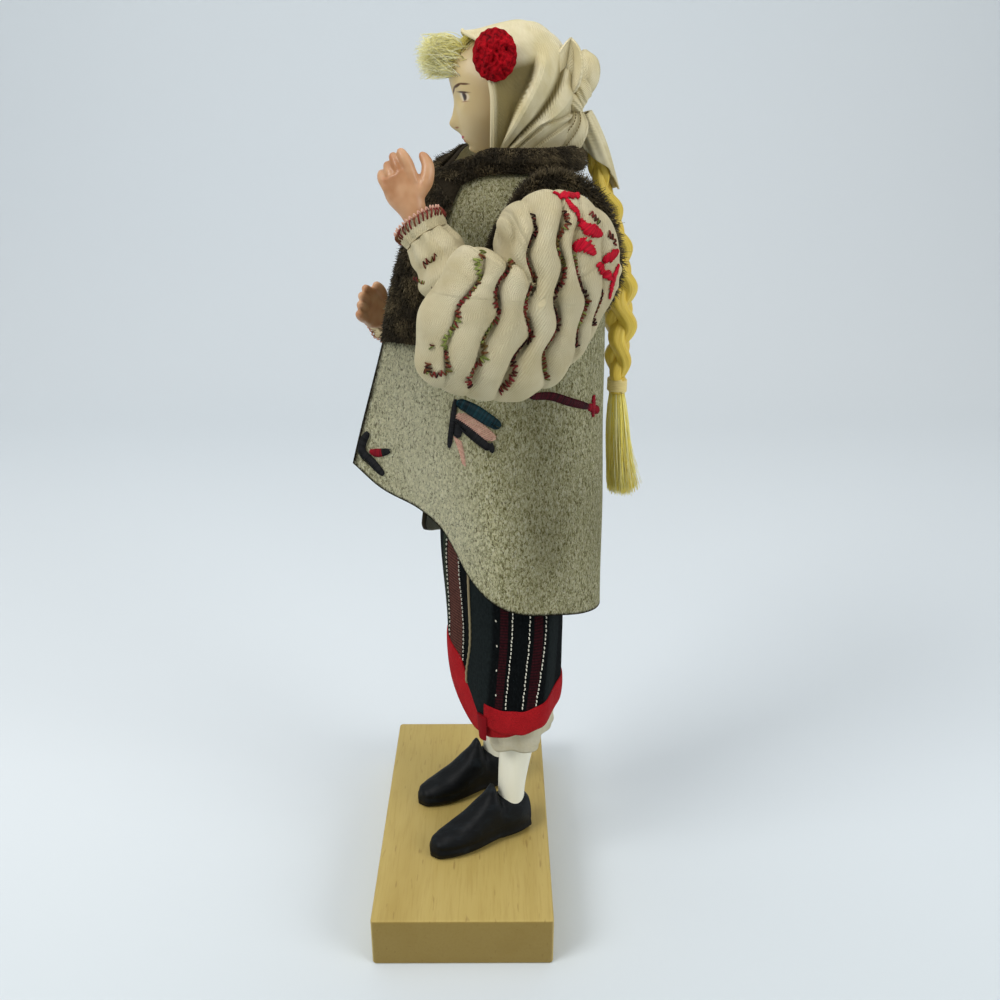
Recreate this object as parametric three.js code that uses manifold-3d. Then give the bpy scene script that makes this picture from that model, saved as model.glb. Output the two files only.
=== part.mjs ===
// A folk costume doll on a wooden stand. Millimetres, +Z up, the stand's underside at the origin.
// The doll faces -Y; its body is turned to its left on the stand and its head back to the front.
import * as THREE from "three";
import { mergeVertices } from "three/addons/utils/BufferGeometryUtils.js";
import Module from "manifold-3d";

const wasm = await Module();
wasm.setup();

// Fits
const GAP = 0.3; // between pieces that touch

// Stand
const BASE_LENGTH = 112;
const BASE_DEPTH = 60;
const BASE_THICKNESS = 18;
const BASE_EDGE = 1.2;
const BASE_CORNER = 3;
const FIGURE_X = -3.5; // the doll's axis on the stand
const FIGURE_Y = 15.2;
const BODY_TURN = 20; // degrees
const HEAD_TURN = -18; // degrees, against the body

// Legs and shoes; heights are above the stand's top
const PIN_RADIUS = 1.2;
const PIN_DEPTH = 11;
const PIN_TOP = 34;
const ANKLE_RADIUS = 4.7;
const CALF_RADIUS = 6.9;
const LEG_LOW = 6;
const HIP_HEIGHT = 112;
const HIP_SPREAD = 11.5;
const CALF_BACK = 0.8;
const LEFT_ANKLE = [13.3, -3.4];
const RIGHT_ANKLE = [-14.5, 0.6];
const LEFT_SHOE_TURN = 8; // degrees, against the body
const RIGHT_SHOE_TURN = 6;
const SHOE_LENGTH = 38.5;
const SHOE_WIDTH = 13;
const SHOE_HEEL = 6.2; // from the ankle's centre to the back of the shoe
const SHOE_SIDE_HEIGHT = 16.5;
const SHOE_TONGUE_HEIGHT = 23.5;
const SHOE_EASE = 1.1; // room round the ankle

// Trunk
const NECK_HEIGHT = 227;
const SHOULDER_DROP = 21; // from the neck's foot down to the arms' axis
const SHOULDER_HEIGHT = NECK_HEIGHT - SHOULDER_DROP;
const SHOULDER_BACK = 2.5; // the arms' axis behind the body's axis
const WAIST_HEIGHT = 166;
const SHOULDER_WIRE_RADIUS = 1.2;
const SHOULDER_WIRE_REACH = 44;
const NECK_PEG_RADIUS = 2.8;
const NECK_PEG_LOW = NECK_HEIGHT - 27;
const NECK_PEG_TOP = NECK_HEIGHT + 17;

// Skirts
const UNDERSKIRT_HEM = 40.5;
const UNDERSKIRT_TOP = 106;
const UNDERSKIRT_WALL = 1.1;
const SKIRT_WALL = 1.1;
const SKIRT_FOLDS = 0.9;
const SKIRT_FORWARD = 2;
const SKIRT_TUCK = 0.4; // how far the skirts swing forward at the hem
const SKIRT_BELLY = 1.8; // how much further forward the wrap stands below the hips
const SKIRT_EDGE_ANGLE = 23; // where the outer edge laps over the front, degrees from the front
const SKIRT_OVERLAP = 60; // degrees
const BELT_WIDTH = 11;
const BELT_WALL = 1.2;
const BLOUSE_WALL = 1.0;
const BLOUSE_EASE = 0.8; // between core and blouse

// Vest
const VEST_WALL = 1.6;
const VEST_LEFT_EDGE = 12; // degrees from the front
const VEST_RIGHT_EDGE = 331;
const VEST_FLARE = 24; // how far the left front stands off
const COLLAR_TOP = NECK_HEIGHT + 9;
const ARMHOLE_RADIUS = 17.5;
const FUR_PILE = 4.2;
const FUR_SEAT = 1.2; // from the vest to the fur's backing
const LEFT_LAPEL_WIDTH = 13;
const RIGHT_LAPEL_WIDTH = 7;
const COLLAR_WIDTH = 7.5;
const LEFT_LAPEL_LOW = SHOULDER_HEIGHT - 23;
const RIGHT_LAPEL_LOW = SHOULDER_HEIGHT - 7;

// Arms; points are across, back, up
const PLUG_RADIUS = 11.5;
const PLUG_START = 30.6;
const SLEEVE_OUT = 50.5; // middle of the sleeve's puff, sideways
const SLEEVE_HALF = 10.5;
const LEFT_PUFF = [-14.5, SHOULDER_HEIGHT - 4.5];
const RIGHT_PUFF = [1, SHOULDER_HEIGHT - 11];
const RIGHT_PUFF_SHARE = 0.82; // of the left puff's outline
const LEFT_WRIST = [33.2, -35, SHOULDER_HEIGHT + 8.5];
const LEFT_FOREARM_START = [43, -27.5, SHOULDER_HEIGHT - 7];
const LEFT_HAND_WAY = [-4.1, -8, 20];
const RIGHT_WRIST = [-16.6, -32.4, SHOULDER_HEIGHT - 22.4];
const RIGHT_FOREARM_START = [-46, -10, SHOULDER_HEIGHT - 28];
const RIGHT_HAND_WAY = [13.5, -14, 11];
const FOREARM_RADIUS = 11;
const WRIST_RADIUS = 3.5;
const CUFF_RADIUS = 5.9;
const CUFF_LENGTH = 4.5;
const WRIST_WIRE_RADIUS = 0.9;
const HAND_LENGTH = 20;

// Head
const HEAD_CENTRE = [0, 0.6, NECK_HEIGHT + 22];
const HEAD_HALF = [12.2, 16, 16.6];
const HEAD_BACK = 12.8; // half depth of the back of the head
const NECK_RADIUS = 6.2;
const HAIR_WALL = 1.0;
const SCARF_WALL = 1.1;
const FLOWER_RADIUS = 5.8;
const BRAID_TOP = [6.8, 20.8, NECK_HEIGHT + 14.2]; // under the knot
const BRAID_RADIUS = 5.2;
const TIE_HEIGHT = 160.5;
const TIE_LENGTH = 4;
const TASSEL_END = 124;

const rad = THREE.MathUtils.degToRad;
const { lerp, clamp, smoothstep } = THREE.MathUtils;
const V = (x, y, z) => new THREE.Vector3(x, y, z);
const steps = (count) => Array.from({ length: count + 1 }, (_, i) => i / count);

// A smooth value at t through stops given as [t, value]
function follow(stops, t) {
  const last = stops.length - 1;
  if (t <= stops[0][0]) return stops[0][1];
  if (t >= stops[last][0]) return stops[last][1];
  const k = stops.findIndex((stop) => stop[0] > t) - 1;
  const slope = (i) => {
    const a = stops[Math.max(i - 1, 0)];
    const b = stops[Math.min(i + 1, last)];
    return (b[1] - a[1]) / (b[0] - a[0]);
  };
  const [t0, v0] = stops[k];
  const [t1, v1] = stops[k + 1];
  const w = (t - t0) / (t1 - t0);
  const span = t1 - t0;
  const w2 = w * w;
  const w3 = w2 * w;
  return (
    (2 * w3 - 3 * w2 + 1) * v0 +
    (w3 - 2 * w2 + w) * span * slope(k) +
    (3 * w2 - 2 * w3) * v1 +
    (w3 - w2) * span * slope(k + 1)
  );
}

// A geometry from points and triangles, turned to face out
function surface(points, index) {
  let volume = 0;
  for (let i = 0; i < index.length; i += 3) {
    const [a, b, c] = [points[index[i]], points[index[i + 1]], points[index[i + 2]]];
    volume += a.dot(V(0, 0, 0).crossVectors(b, c));
  }
  const faces = volume < 0 ? index.slice().reverse() : index;
  return new THREE.BufferGeometry().setFromPoints(points).setIndex(faces);
}

// A closed solid through rings of points; an endless one joins its last ring to its first
function loft(rings, endless = false) {
  const around = rings[0].length;
  const points = rings.flat();
  const index = [];
  const spans = endless ? rings.length : rings.length - 1;
  for (let i = 0; i < spans; i++)
    for (let j = 0; j < around; j++) {
      const next = (j + 1) % around;
      const above = ((i + 1) % rings.length) * around;
      index.push(i * around + j, i * around + next, above + next);
      index.push(i * around + j, above + next, above + j);
    }
  if (!endless)
    for (const row of [0, rings.length - 1]) {
      const ring = rings[row];
      const hub = points.push(ring.reduce((sum, p) => sum.add(p), V(0, 0, 0)).divideScalar(around)) - 1;
      ring.forEach((_, j) => {
        const a = row * around + j;
        const b = row * around + ((j + 1) % around);
        index.push(...(row ? [hub, a, b] : [hub, b, a]));
      });
    }
  return surface(points, index);
}

// A closed sheet between two functions of (u, v), each from 0 to 1
function sheet(outer, inner, us, vs) {
  const cols = us.length;
  const grid = (spot) => vs.flatMap((v) => us.map((u) => spot(u, v)));
  const points = [...grid(outer), ...grid(inner)];
  const half = cols * vs.length;
  const index = [];
  for (let i = 0; i < vs.length - 1; i++)
    for (let j = 0; j < cols - 1; j++) {
      const a = i * cols + j;
      const [b, c, d] = [a + 1, a + cols, a + cols + 1];
      index.push(a, b, d, a, d, c);
      index.push(half + a, half + d, half + b, half + a, half + c, half + d);
    }
  const top = (vs.length - 1) * cols;
  const rim = [
    ...us.map((_, j) => j),
    ...vs.slice(1).map((_, i) => (i + 2) * cols - 1),
    ...us.slice(1).map((_, j) => top + cols - 2 - j),
    ...vs.slice(1).map((_, i) => top - (i + 1) * cols),
  ];
  rim.slice(1).forEach((q, i) => {
    const p = rim[i];
    index.push(p, p + half, q + half, p, q + half, q);
  });
  return surface(points, index);
}

// A tube wall, open at both ends, from a spot(angle, height share, outwards)
function wall(spot, thickness, around, rows) {
  const ring = (v, out) => steps(around).slice(1).map((u) => spot(u * 360, v, out));
  const outside = rows.map((v) => ring(v, thickness));
  const inside = rows.map((v) => ring(v, 0)).reverse();
  return loft([...outside, ...inside], true);
}

// A solid along a path: radius(t) gives its half widths along side and the direction square to it
function limb(path, radius, side, rows, around = 16) {
  const rings = rows.map((t) => {
    const along = path.getTangentAt(t);
    const across = side.clone().addScaledVector(along, -side.dot(along)).normalize();
    const other = V(0, 0, 0).crossVectors(along, across);
    const [a, b] = radius(t);
    return steps(around).slice(1).map((u) => {
      const angle = u * 2 * Math.PI;
      return path.getPointAt(t)
        .addScaledVector(across, a * Math.cos(angle))
        .addScaledVector(other, b * Math.sin(angle));
    });
  });
  return loft(rings);
}

const curve = (points) => new THREE.CatmullRomCurve3(points.map((p) => V(...p)));

// A round rod between two points
function rod(from, to, radius, sides = 14) {
  const [a, b] = [V(...from), V(...to)];
  const geometry = new THREE.CylinderGeometry(radius, radius, a.distanceTo(b), sides);
  const turn = new THREE.Quaternion().setFromUnitVectors(V(0, 1, 0), b.clone().sub(a).normalize());
  return geometry.applyQuaternion(turn).translate(...a.add(b).multiplyScalar(0.5).toArray());
}

// Joins and cuts
function solid(geometry) {
  const bare = new THREE.BufferGeometry().setAttribute("position", geometry.getAttribute("position"));
  if (geometry.index) bare.setIndex(geometry.index);
  const merged = mergeVertices(bare, 1e-4);
  return new wasm.Manifold(
    new wasm.Mesh({
      numProp: 3,
      vertProperties: new Float32Array(merged.getAttribute("position").array),
      triVerts: new Uint32Array(merged.index.array),
    }),
  );
}

function geometryOf(manifold) {
  const mesh = manifold.getMesh();
  return new THREE.BufferGeometry()
    .setAttribute("position", new THREE.BufferAttribute(mesh.vertProperties, 3))
    .setIndex(new THREE.BufferAttribute(mesh.triVerts, 1));
}

const join = (...pieces) => geometryOf(pieces.map(solid).reduce((whole, piece) => whole.add(piece)));
const cut = (piece, ...tools) =>
  geometryOf(tools.map(solid).reduce((whole, tool) => whole.subtract(tool), solid(piece)));

const finish = (color, roughness, metalness = 0) =>
  new THREE.MeshStandardMaterial({ color, roughness, metalness });
const beech = finish("#cdae70", 0.55);
const blackPaint = finish("#17191d", 0.4);
const ivoryPaint = finish("#e8e4d2", 0.45);
const steel = finish("#9a9a98", 0.35, 1);
const calico = finish("#d8c9a4", 0.95);
const cotton = finish("#ddd3b4", 0.95);
const blackWool = finish("#17191c", 0.95);
const redBraid = finish("#b3242a", 0.9);
const suede = finish("#97926f", 0.95);
const fur = finish("#382f20", 1);
const flesh = finish("#d9a478", 0.4);
const ivoryFace = finish("#dcc796", 0.45);
const hair = finish("#d8bd4a", 0.5);
const crimson = finish("#98101a", 0.8);

const doll = new THREE.Group();
const figure = new THREE.Group();
figure.position.set(FIGURE_X, FIGURE_Y, BASE_THICKNESS);
figure.rotation.z = rad(BODY_TURN);
const headGroup = new THREE.Group();
headGroup.rotation.z = rad(HEAD_TURN);
figure.add(headGroup);
doll.add(figure);

function add(group, name, geometry, material) {
  const mesh = new THREE.Mesh(geometry, material);
  mesh.name = name;
  group.add(mesh);
}

// Stand: a plank block with eased edges and a hole for each leg's pin
function standBlock() {
  const [x, y] = [BASE_LENGTH / 2 - BASE_EDGE, BASE_DEPTH / 2 - BASE_EDGE];
  const r = BASE_CORNER;
  const outline = new THREE.Shape();
  outline.moveTo(-x + r, -y).lineTo(x - r, -y);
  outline.absarc(x - r, -y + r, r, -Math.PI / 2, 0);
  outline.absarc(x - r, y - r, r, 0, Math.PI / 2);
  outline.absarc(-x + r, y - r, r, Math.PI / 2, Math.PI);
  outline.absarc(-x + r, -y + r, r, Math.PI, 1.5 * Math.PI);
  const block = new THREE.ExtrudeGeometry(outline, {
    depth: BASE_THICKNESS - 2 * BASE_EDGE,
    bevelThickness: BASE_EDGE,
    bevelSize: BASE_EDGE,
    bevelSegments: 1,
    curveSegments: 3,
  }).translate(0, 0, BASE_EDGE);
  const turn = new THREE.Matrix4().makeRotationZ(rad(BODY_TURN));
  turn.setPosition(FIGURE_X, FIGURE_Y, BASE_THICKNESS);
  const holes = [LEFT_ANKLE, RIGHT_ANKLE].map(([x0, y0]) =>
    rod([x0, y0, -PIN_DEPTH - GAP], [x0, y0, 1], PIN_RADIUS + GAP).applyMatrix4(turn));
  return cut(block, ...holes);
}
add(doll, "base_block", standBlock(), beech);

// Legs: ankle, calf set back, knee and thigh, leaning from the shoe to the hip
function legAxis(ankle, sign, z) {
  const share = smoothstep(z, PIN_TOP / 2, HIP_HEIGHT / 2);
  const calfBack = CALF_BACK * smoothstep(z, 12, 40) * (1 - smoothstep(z, 55, 80));
  return V(lerp(ankle[0], sign * HIP_SPREAD, share), lerp(ankle[1], 0, share) + calfBack, z);
}

function leg(ankle, sign) {
  const heights = [LEG_LOW, 14, 20, 26, 32, 38, 45, 54, 64, 76, 90, HIP_HEIGHT - GAP];
  const radius = [
    [LEG_LOW, ANKLE_RADIUS], [16, ANKLE_RADIUS], [30, ANKLE_RADIUS + 0.9], [45, CALF_RADIUS],
    [58, CALF_RADIUS], [78, CALF_RADIUS - 0.9], [HIP_HEIGHT, CALF_RADIUS + 0.8],
  ];
  const rings = heights.map((z) =>
    steps(14).slice(1).map((u) => {
      const angle = u * 2 * Math.PI;
      const r = follow(radius, z);
      return legAxis(ankle, sign, z).add(V(r * Math.sin(angle), -r * Math.cos(angle), 0));
    }));
  return cut(loft(rings), rod([...ankle, LEG_LOW - 1], [...ankle, PIN_TOP + GAP], PIN_RADIUS + GAP));
}

// Shoes: flat sole, rounded toe, a raised tongue in front of the ankle and a socket for the leg
function shoe(ankle, turn) {
  const half = SHOE_WIDTH / 2;
  const width = [
    [0, half - 2.4], [0.12, half - 0.9], [0.35, half - 0.9], [0.68, half], [0.9, half - 1.6],
    [0.97, half - 3.3], [1, half - 5],
  ];
  const height = [
    [0, SHOE_SIDE_HEIGHT - 3.5], [0.08, SHOE_SIDE_HEIGHT], [0.24, SHOE_SIDE_HEIGHT + 0.5],
    [0.36, SHOE_TONGUE_HEIGHT], [0.5, SHOE_SIDE_HEIGHT - 1.5], [0.72, 9.5], [0.9, 7], [0.97, 5.4], [1, 3.4],
  ];
  const stations = [0, 0.05, 0.14, 0.26, 0.33, 0.38, 0.46, 0.58, 0.7, 0.84, 0.92, 0.97, 1];
  const rings = stations.map((s) => {
    const [w, h] = [follow(width, s), follow(height, s)];
    return steps(14).slice(1).map((u) => {
      const angle = u * 2 * Math.PI;
      const [c, n] = [Math.cos(angle), Math.sin(angle)];
      const across = w * Math.sign(c) * Math.abs(c) ** 0.7;
      const up = n < 0 ? h * 0.32 * (1 - Math.abs(n) ** 0.35) : h * (0.32 + 0.68 * n ** 0.85);
      return V(across, SHOE_HEEL - s * SHOE_LENGTH, up + GAP);
    });
  });
  const body = loft(rings).rotateZ(rad(turn)).translate(ankle[0], ankle[1], 0);
  const pin = rod([...ankle, -1], [...ankle, LEG_LOW], PIN_RADIUS + GAP);
  const socketEnds = [LEG_LOW - GAP, SHOE_TONGUE_HEIGHT + 9].map((z) => [...ankle, z]);
  const socket = rod(...socketEnds, ANKLE_RADIUS + GAP + SHOE_EASE, 16);
  return cut(body, pin, socket);
}

for (const [side, sign, ankle, turn] of [
  ["left", 1, LEFT_ANKLE, LEFT_SHOE_TURN],
  ["right", -1, RIGHT_ANKLE, RIGHT_SHOE_TURN],
]) {
  add(figure, `${side}_leg_pin`, rod([...ankle, -PIN_DEPTH], [...ankle, PIN_TOP], PIN_RADIUS), steel);
  add(figure, `${side}_leg`, leg(ankle, sign), ivoryPaint);
  add(figure, `${side}_shoe`, shoe(ankle, turn), blackPaint);
}

// Trunk: a stuffed core, wide at hips and chest, with bores for the neck's peg and the arms' wire
const CHEST_HEIGHT = (WAIST_HEIGHT + SHOULDER_HEIGHT) / 2;
const coreSide = [
  [HIP_HEIGHT, 19], [125, 20.5], [145, 17.5], [WAIST_HEIGHT, 14.5], [CHEST_HEIGHT, 20],
  [SHOULDER_HEIGHT - 2, 26], [SHOULDER_HEIGHT + 7, 27.6], [NECK_HEIGHT - 7, 26.8],
  [NECK_HEIGHT - 3, 23], [NECK_HEIGHT, 16.8],
];
const coreDepth = [
  [HIP_HEIGHT, 13], [125, 14], [145, 12.5], [WAIST_HEIGHT, 11], [CHEST_HEIGHT, 14],
  [SHOULDER_HEIGHT - 2, 14.5], [SHOULDER_HEIGHT + 7, 14], [NECK_HEIGHT - 7, 12.5],
  [NECK_HEIGHT - 3, 11], [NECK_HEIGHT, 9],
];
function coreSpot(angle, z, out) {
  const [a, b] = [follow(coreSide, z) + out, follow(coreDepth, z) + out];
  return V(a * Math.sin(rad(angle)), -b * Math.cos(rad(angle)) + 0.6, z);
}

const armWireEnds = [-1, 1].map((sign) => [sign * SHOULDER_WIRE_REACH, SHOULDER_BACK, SHOULDER_HEIGHT]);
const armWireBore = () => rod(...armWireEnds, SHOULDER_WIRE_RADIUS + GAP);

function bodyCore() {
  const heights = [
    HIP_HEIGHT, 118, 128, 142, 154, WAIST_HEIGHT, CHEST_HEIGHT - 6, CHEST_HEIGHT + 6, SHOULDER_HEIGHT - 3,
    SHOULDER_HEIGHT + 6, NECK_HEIGHT - 8, NECK_HEIGHT - 3, NECK_HEIGHT,
  ];
  const body = loft(heights.map((z) => steps(18).slice(1).map((u) => coreSpot(u * 360, z, 0))));
  const peg = rod([0, 0, NECK_PEG_LOW - GAP], [0, 0, NECK_HEIGHT + 1], NECK_PEG_RADIUS + GAP);
  return cut(body, peg, armWireBore());
}

// The peg has a slot through which the arms' wire runs
const neckPeg = () => cut(
  rod([0, 0, NECK_PEG_LOW], [0, 0, NECK_PEG_TOP], NECK_PEG_RADIUS, 18),
  armWireBore(),
);

const blouseLow = WAIST_HEIGHT + 1.5;
const blouseBody = () => cut(
  wall(
    (angle, v, out) => coreSpot(angle, lerp(blouseLow, NECK_HEIGHT, v), out + BLOUSE_EASE),
    BLOUSE_WALL, 18, [0, 0.24, 0.44, 0.62, 0.77, 0.88, 0.96, 1],
  ),
  armWireBore(),
);

add(figure, "body_core", bodyCore(), calico);
add(figure, "neck_peg", neckPeg(), beech);
add(figure, "shoulder_wire", rod(...armWireEnds, SHOULDER_WIRE_RADIUS), steel);
add(figure, "blouse_body", blouseBody(), cotton);

// Skirts share one form, oval and narrowing to the waist, with shallow folds towards the hem
const skirtSide = [[36, 26.4], [46, 27.6], [75, 28.2], [112, 27.5], [140, 23.5], [WAIST_HEIGHT, 15.6]];
const skirtDepth = [[36, 15.1], [46, 16.1], [75, 17.5], [112, 18.6], [140, 16.8], [WAIST_HEIGHT, 12.1]];
function skirtSpot(angle, z, out, folds = SKIRT_FOLDS) {
  const ripple = folds * (1 - smoothstep(z, 60, 130)) * Math.cos(rad(7 * angle + 20));
  const [a, b] = [follow(skirtSide, z) + out + ripple, follow(skirtDepth, z) + out + ripple];
  const belly = SKIRT_BELLY * smoothstep(z, 80, HIP_HEIGHT) * (1 - smoothstep(z, HIP_HEIGHT, 150));
  const tuck = SKIRT_TUCK * (1 - smoothstep(z, 75, HIP_HEIGHT));
  const lean = SKIRT_FORWARD * (1 - smoothstep(z, 110, 160)) + belly + tuck;
  return V(a * Math.sin(rad(angle)), -b * Math.cos(rad(angle)) - lean, z);
}

const underskirt = () => wall(
  (angle, v, out) => {
    const hem = UNDERSKIRT_HEM + 1.5 * Math.cos(rad(angle - 190));
    return skirtSpot(angle, lerp(hem, UNDERSKIRT_TOP, v), out - UNDERSKIRT_WALL - SKIRT_FOLDS - 2 * GAP, 1.4);
  },
  UNDERSKIRT_WALL, 36, [0, 0.14, 0.4, 1],
);

// The wrap runs from its outer edge at the left front round the back to the inner edge under it;
// its hem is drawn up at the right and falls across the front to the left. Stops are degrees, height
const hemStops = [
  [SKIRT_EDGE_ANGLE, 60], [28, 57], [37, 53.5], [48, 51.9], [78, 50.3], [95, 52.4], [122, 53.4], [178, 55.5],
  [268, 58], [301, 63], [331, 66], [345, 63.5], [355, 59.5], [362, 55.5], [368, 51.5], [374, 48.2],
  [380, 46.2], [386, 45.4], [400, 46.5], [443, 50],
];
const bandTopStops = [
  [SKIRT_EDGE_ANGLE, 66], [28, 63.5], [37, 61], [48, 59.7], [78, 58.7], [95, 60.8], [122, 62.5], [178, 63.5],
  [268, 66], [301, 72], [331, 77.5], [355, 77.5], [368, 76], [374, 74], [378, 68], [381, 62.5], [388, 57.5],
  [397, 55], [410, 55], [443, 58],
];
const wrapAngle = (u) => SKIRT_EDGE_ANGLE + u * (360 + SKIRT_OVERLAP);
const wrapLift = (u) => (SKIRT_WALL + GAP) * (1 - smoothstep(wrapAngle(u) - SKIRT_EDGE_ANGLE, 60, 300));
const hemAt = (u) => follow(hemStops, wrapAngle(u));
const bandTopAt = (u) => follow(bandTopStops, wrapAngle(u));
const wrapColumns = [
  ...steps(30).map((k) => 0.76 * k), ...steps(20).slice(1).map((k) => lerp(0.76, 0.92, k)), 0.96, 1,
];
function wrapSheet(low, high, rows) {
  const spot = (lift) => (u, v) =>
    skirtSpot(wrapAngle(u), lerp(low(u), high(u), v), wrapLift(u) + lift);
  return sheet(spot(SKIRT_WALL), spot(0), wrapColumns, rows);
}
const wrapSkirt = () => wrapSheet(bandTopAt, () => WAIST_HEIGHT, [0, 0.2, 0.55, 1]);
const hemBand = () => wrapSheet(hemAt, (u) => bandTopAt(u) - GAP, [0, 1]);

const waistBelt = () => wall(
  (angle, v, out) => {
    const z = WAIST_HEIGHT + lerp(-4, BELT_WIDTH - 4, v);
    const skirt = skirtSpot(angle, Math.min(z, WAIST_HEIGHT), SKIRT_WALL + wrapLift(0) + GAP + out, 0);
    const blouse = coreSpot(angle, z, BLOUSE_EASE + BLOUSE_WALL + GAP + out);
    return V(skirt.x, skirt.y, z).length() > blouse.length() ? V(skirt.x, skirt.y, z) : blouse;
  },
  BELT_WALL, 24, [0, 0.36, 0.7, 1],
);

add(figure, "underskirt", underskirt(), cotton);
add(figure, "wrap_skirt", wrapSkirt(), blackWool);
add(figure, "skirt_hem_band", hemBand(), redBraid);
add(figure, "waist_belt", waistBelt(), redBraid);

// Vest: an oval shell with an open front, a flaring left front, a long back and a standing collar
const vestSide = [
  [95, 37], [150, 35.5], [SHOULDER_HEIGHT - 16, 34.3], [SHOULDER_HEIGHT + 4, 33.5], [NECK_HEIGHT - 7, 31],
  [NECK_HEIGHT, 25], [NECK_HEIGHT + 4, 20.5], [COLLAR_TOP, 20],
];
const vestBack = [
  [88, 30.5], [150, 29.5], [SHOULDER_HEIGHT - 16, 28.6], [SHOULDER_HEIGHT + 2, 28],
  [SHOULDER_HEIGHT + 10, 25], [NECK_HEIGHT - 3, 20], [NECK_HEIGHT + 3, 17.5], [COLLAR_TOP, 17.3],
];
const vestLeftFront = [
  [105, 30], [150, 31], [SHOULDER_HEIGHT - 24, 29.5], [SHOULDER_HEIGHT - 6, 29.5], [SHOULDER_HEIGHT + 10, 27],
  [NECK_HEIGHT, 24], [COLLAR_TOP, 20],
];
const vestRightFront = [
  [112, 29], [150, 23], [SHOULDER_HEIGHT - 26, 18], [SHOULDER_HEIGHT - 6, 20.5], [SHOULDER_HEIGHT + 10, 23],
  [NECK_HEIGHT, 20.5], [COLLAR_TOP, 18],
];
const vestHem = [
  [VEST_LEFT_EDGE, 147.5], [20, 141], [34, 134.5], [43, 127.5], [52, 114], [63, 105], [95, 99],
  [149, 90], [180, 88.5], [215, 90], [265, 98], [300, 104], [VEST_RIGHT_EDGE, 112.5],
];
const vestTop = (angle) => COLLAR_TOP - 7 * (1 - smoothstep(Math.min(angle, 345 - angle), 12, 60));

function vestRadius(angle, z) {
  const [s, c] = [Math.sin(rad(angle)), Math.cos(rad(angle))];
  const left = angle < 180;
  const depth = follow(c < 0 ? vestBack : left ? vestLeftFront : vestRightFront, z);
  const oval = 1 / Math.hypot(s / follow(vestSide, z), c / depth);
  const flareTop = NECK_HEIGHT + 5;
  const reach = clamp((flareTop - z) / (flareTop - vestHem[0][1]), 0, 1.25);
  return oval + (left ? VEST_FLARE * reach * Math.exp(-(angle - VEST_LEFT_EDGE) / 26) : 0);
}

function vestSkin(angle, z) {
  const r = vestRadius(angle, z);
  return V(r * Math.sin(rad(angle)), -r * Math.cos(rad(angle)), z);
}

// A spot at a distance out from the vest's skin
function vestSpot(angle, z, out) {
  const across = vestSkin(angle + 0.5, z).sub(vestSkin(angle - 0.5, z));
  const up = vestSkin(angle, z + 0.5).sub(vestSkin(angle, z - 0.5));
  return vestSkin(angle, z).addScaledVector(across.cross(up).normalize(), out);
}

function armhole(sign) {
  const tool = new THREE.CylinderGeometry(ARMHOLE_RADIUS, ARMHOLE_RADIUS, 40, 24).rotateZ(Math.PI / 2);
  return tool.translate(sign * 38, SHOULDER_BACK, SHOULDER_HEIGHT);
}

function vestBody() {
  const angle = (u) => lerp(VEST_LEFT_EDGE, VEST_RIGHT_EDGE, u);
  const height = (u, v) => lerp(follow(vestHem, angle(u)), vestTop(angle(u)), 1 - (1 - v) ** 1.6);
  const spot = (out) => (u, v) => vestSpot(angle(u), height(u, v), out);
  const shell = sheet(spot(0), spot(-VEST_WALL), steps(34), steps(11));
  return cut(shell, armhole(1), armhole(-1));
}

// Fur strip from the left lapel up, round the collar and down the right lapel
function collarFur() {
  const lapel = 0.28;
  const place = (u, v) => {
    const turn = (z, angle) => {
      const width = angle < 180 ? LEFT_LAPEL_WIDTH : RIGHT_LAPEL_WIDTH;
      return v * THREE.MathUtils.radToDeg(width / vestRadius(angle, z));
    };
    const top = (angle) => lerp(vestTop(angle), vestTop(angle) - COLLAR_WIDTH, v);
    if (u < lapel) {
      const z = lerp(LEFT_LAPEL_LOW, top(VEST_LEFT_EDGE), u / lapel);
      return [VEST_LEFT_EDGE + turn(z, VEST_LEFT_EDGE), z];
    }
    if (u > 1 - lapel) {
      const z = lerp(RIGHT_LAPEL_LOW, top(VEST_RIGHT_EDGE), (1 - u) / lapel);
      return [VEST_RIGHT_EDGE - turn(z, VEST_RIGHT_EDGE), z];
    }
    const from = VEST_LEFT_EDGE + turn(top(VEST_LEFT_EDGE), VEST_LEFT_EDGE);
    const to = VEST_RIGHT_EDGE - turn(top(VEST_RIGHT_EDGE), VEST_RIGHT_EDGE);
    const angle = lerp(from, to, (u - lapel) / (1 - 2 * lapel));
    return [angle, top(angle)];
  };
  const pile = (u, v) => {
    const end = Math.min(1, Math.min(u, 1 - u) / 0.03);
    return 0.8 + (FUR_PILE - 0.8) * (1 - (2 * v - 1) ** 4) * (0.4 + 0.6 * end);
  };
  const skin = (u, v) => vestSpot(...place(u, v), FUR_SEAT);
  const tips = (u, v) => vestSpot(...place(u, v), FUR_SEAT + pile(u, v));
  return sheet(tips, skin, steps(38), [0, 0.15, 0.85, 1]);
}

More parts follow.
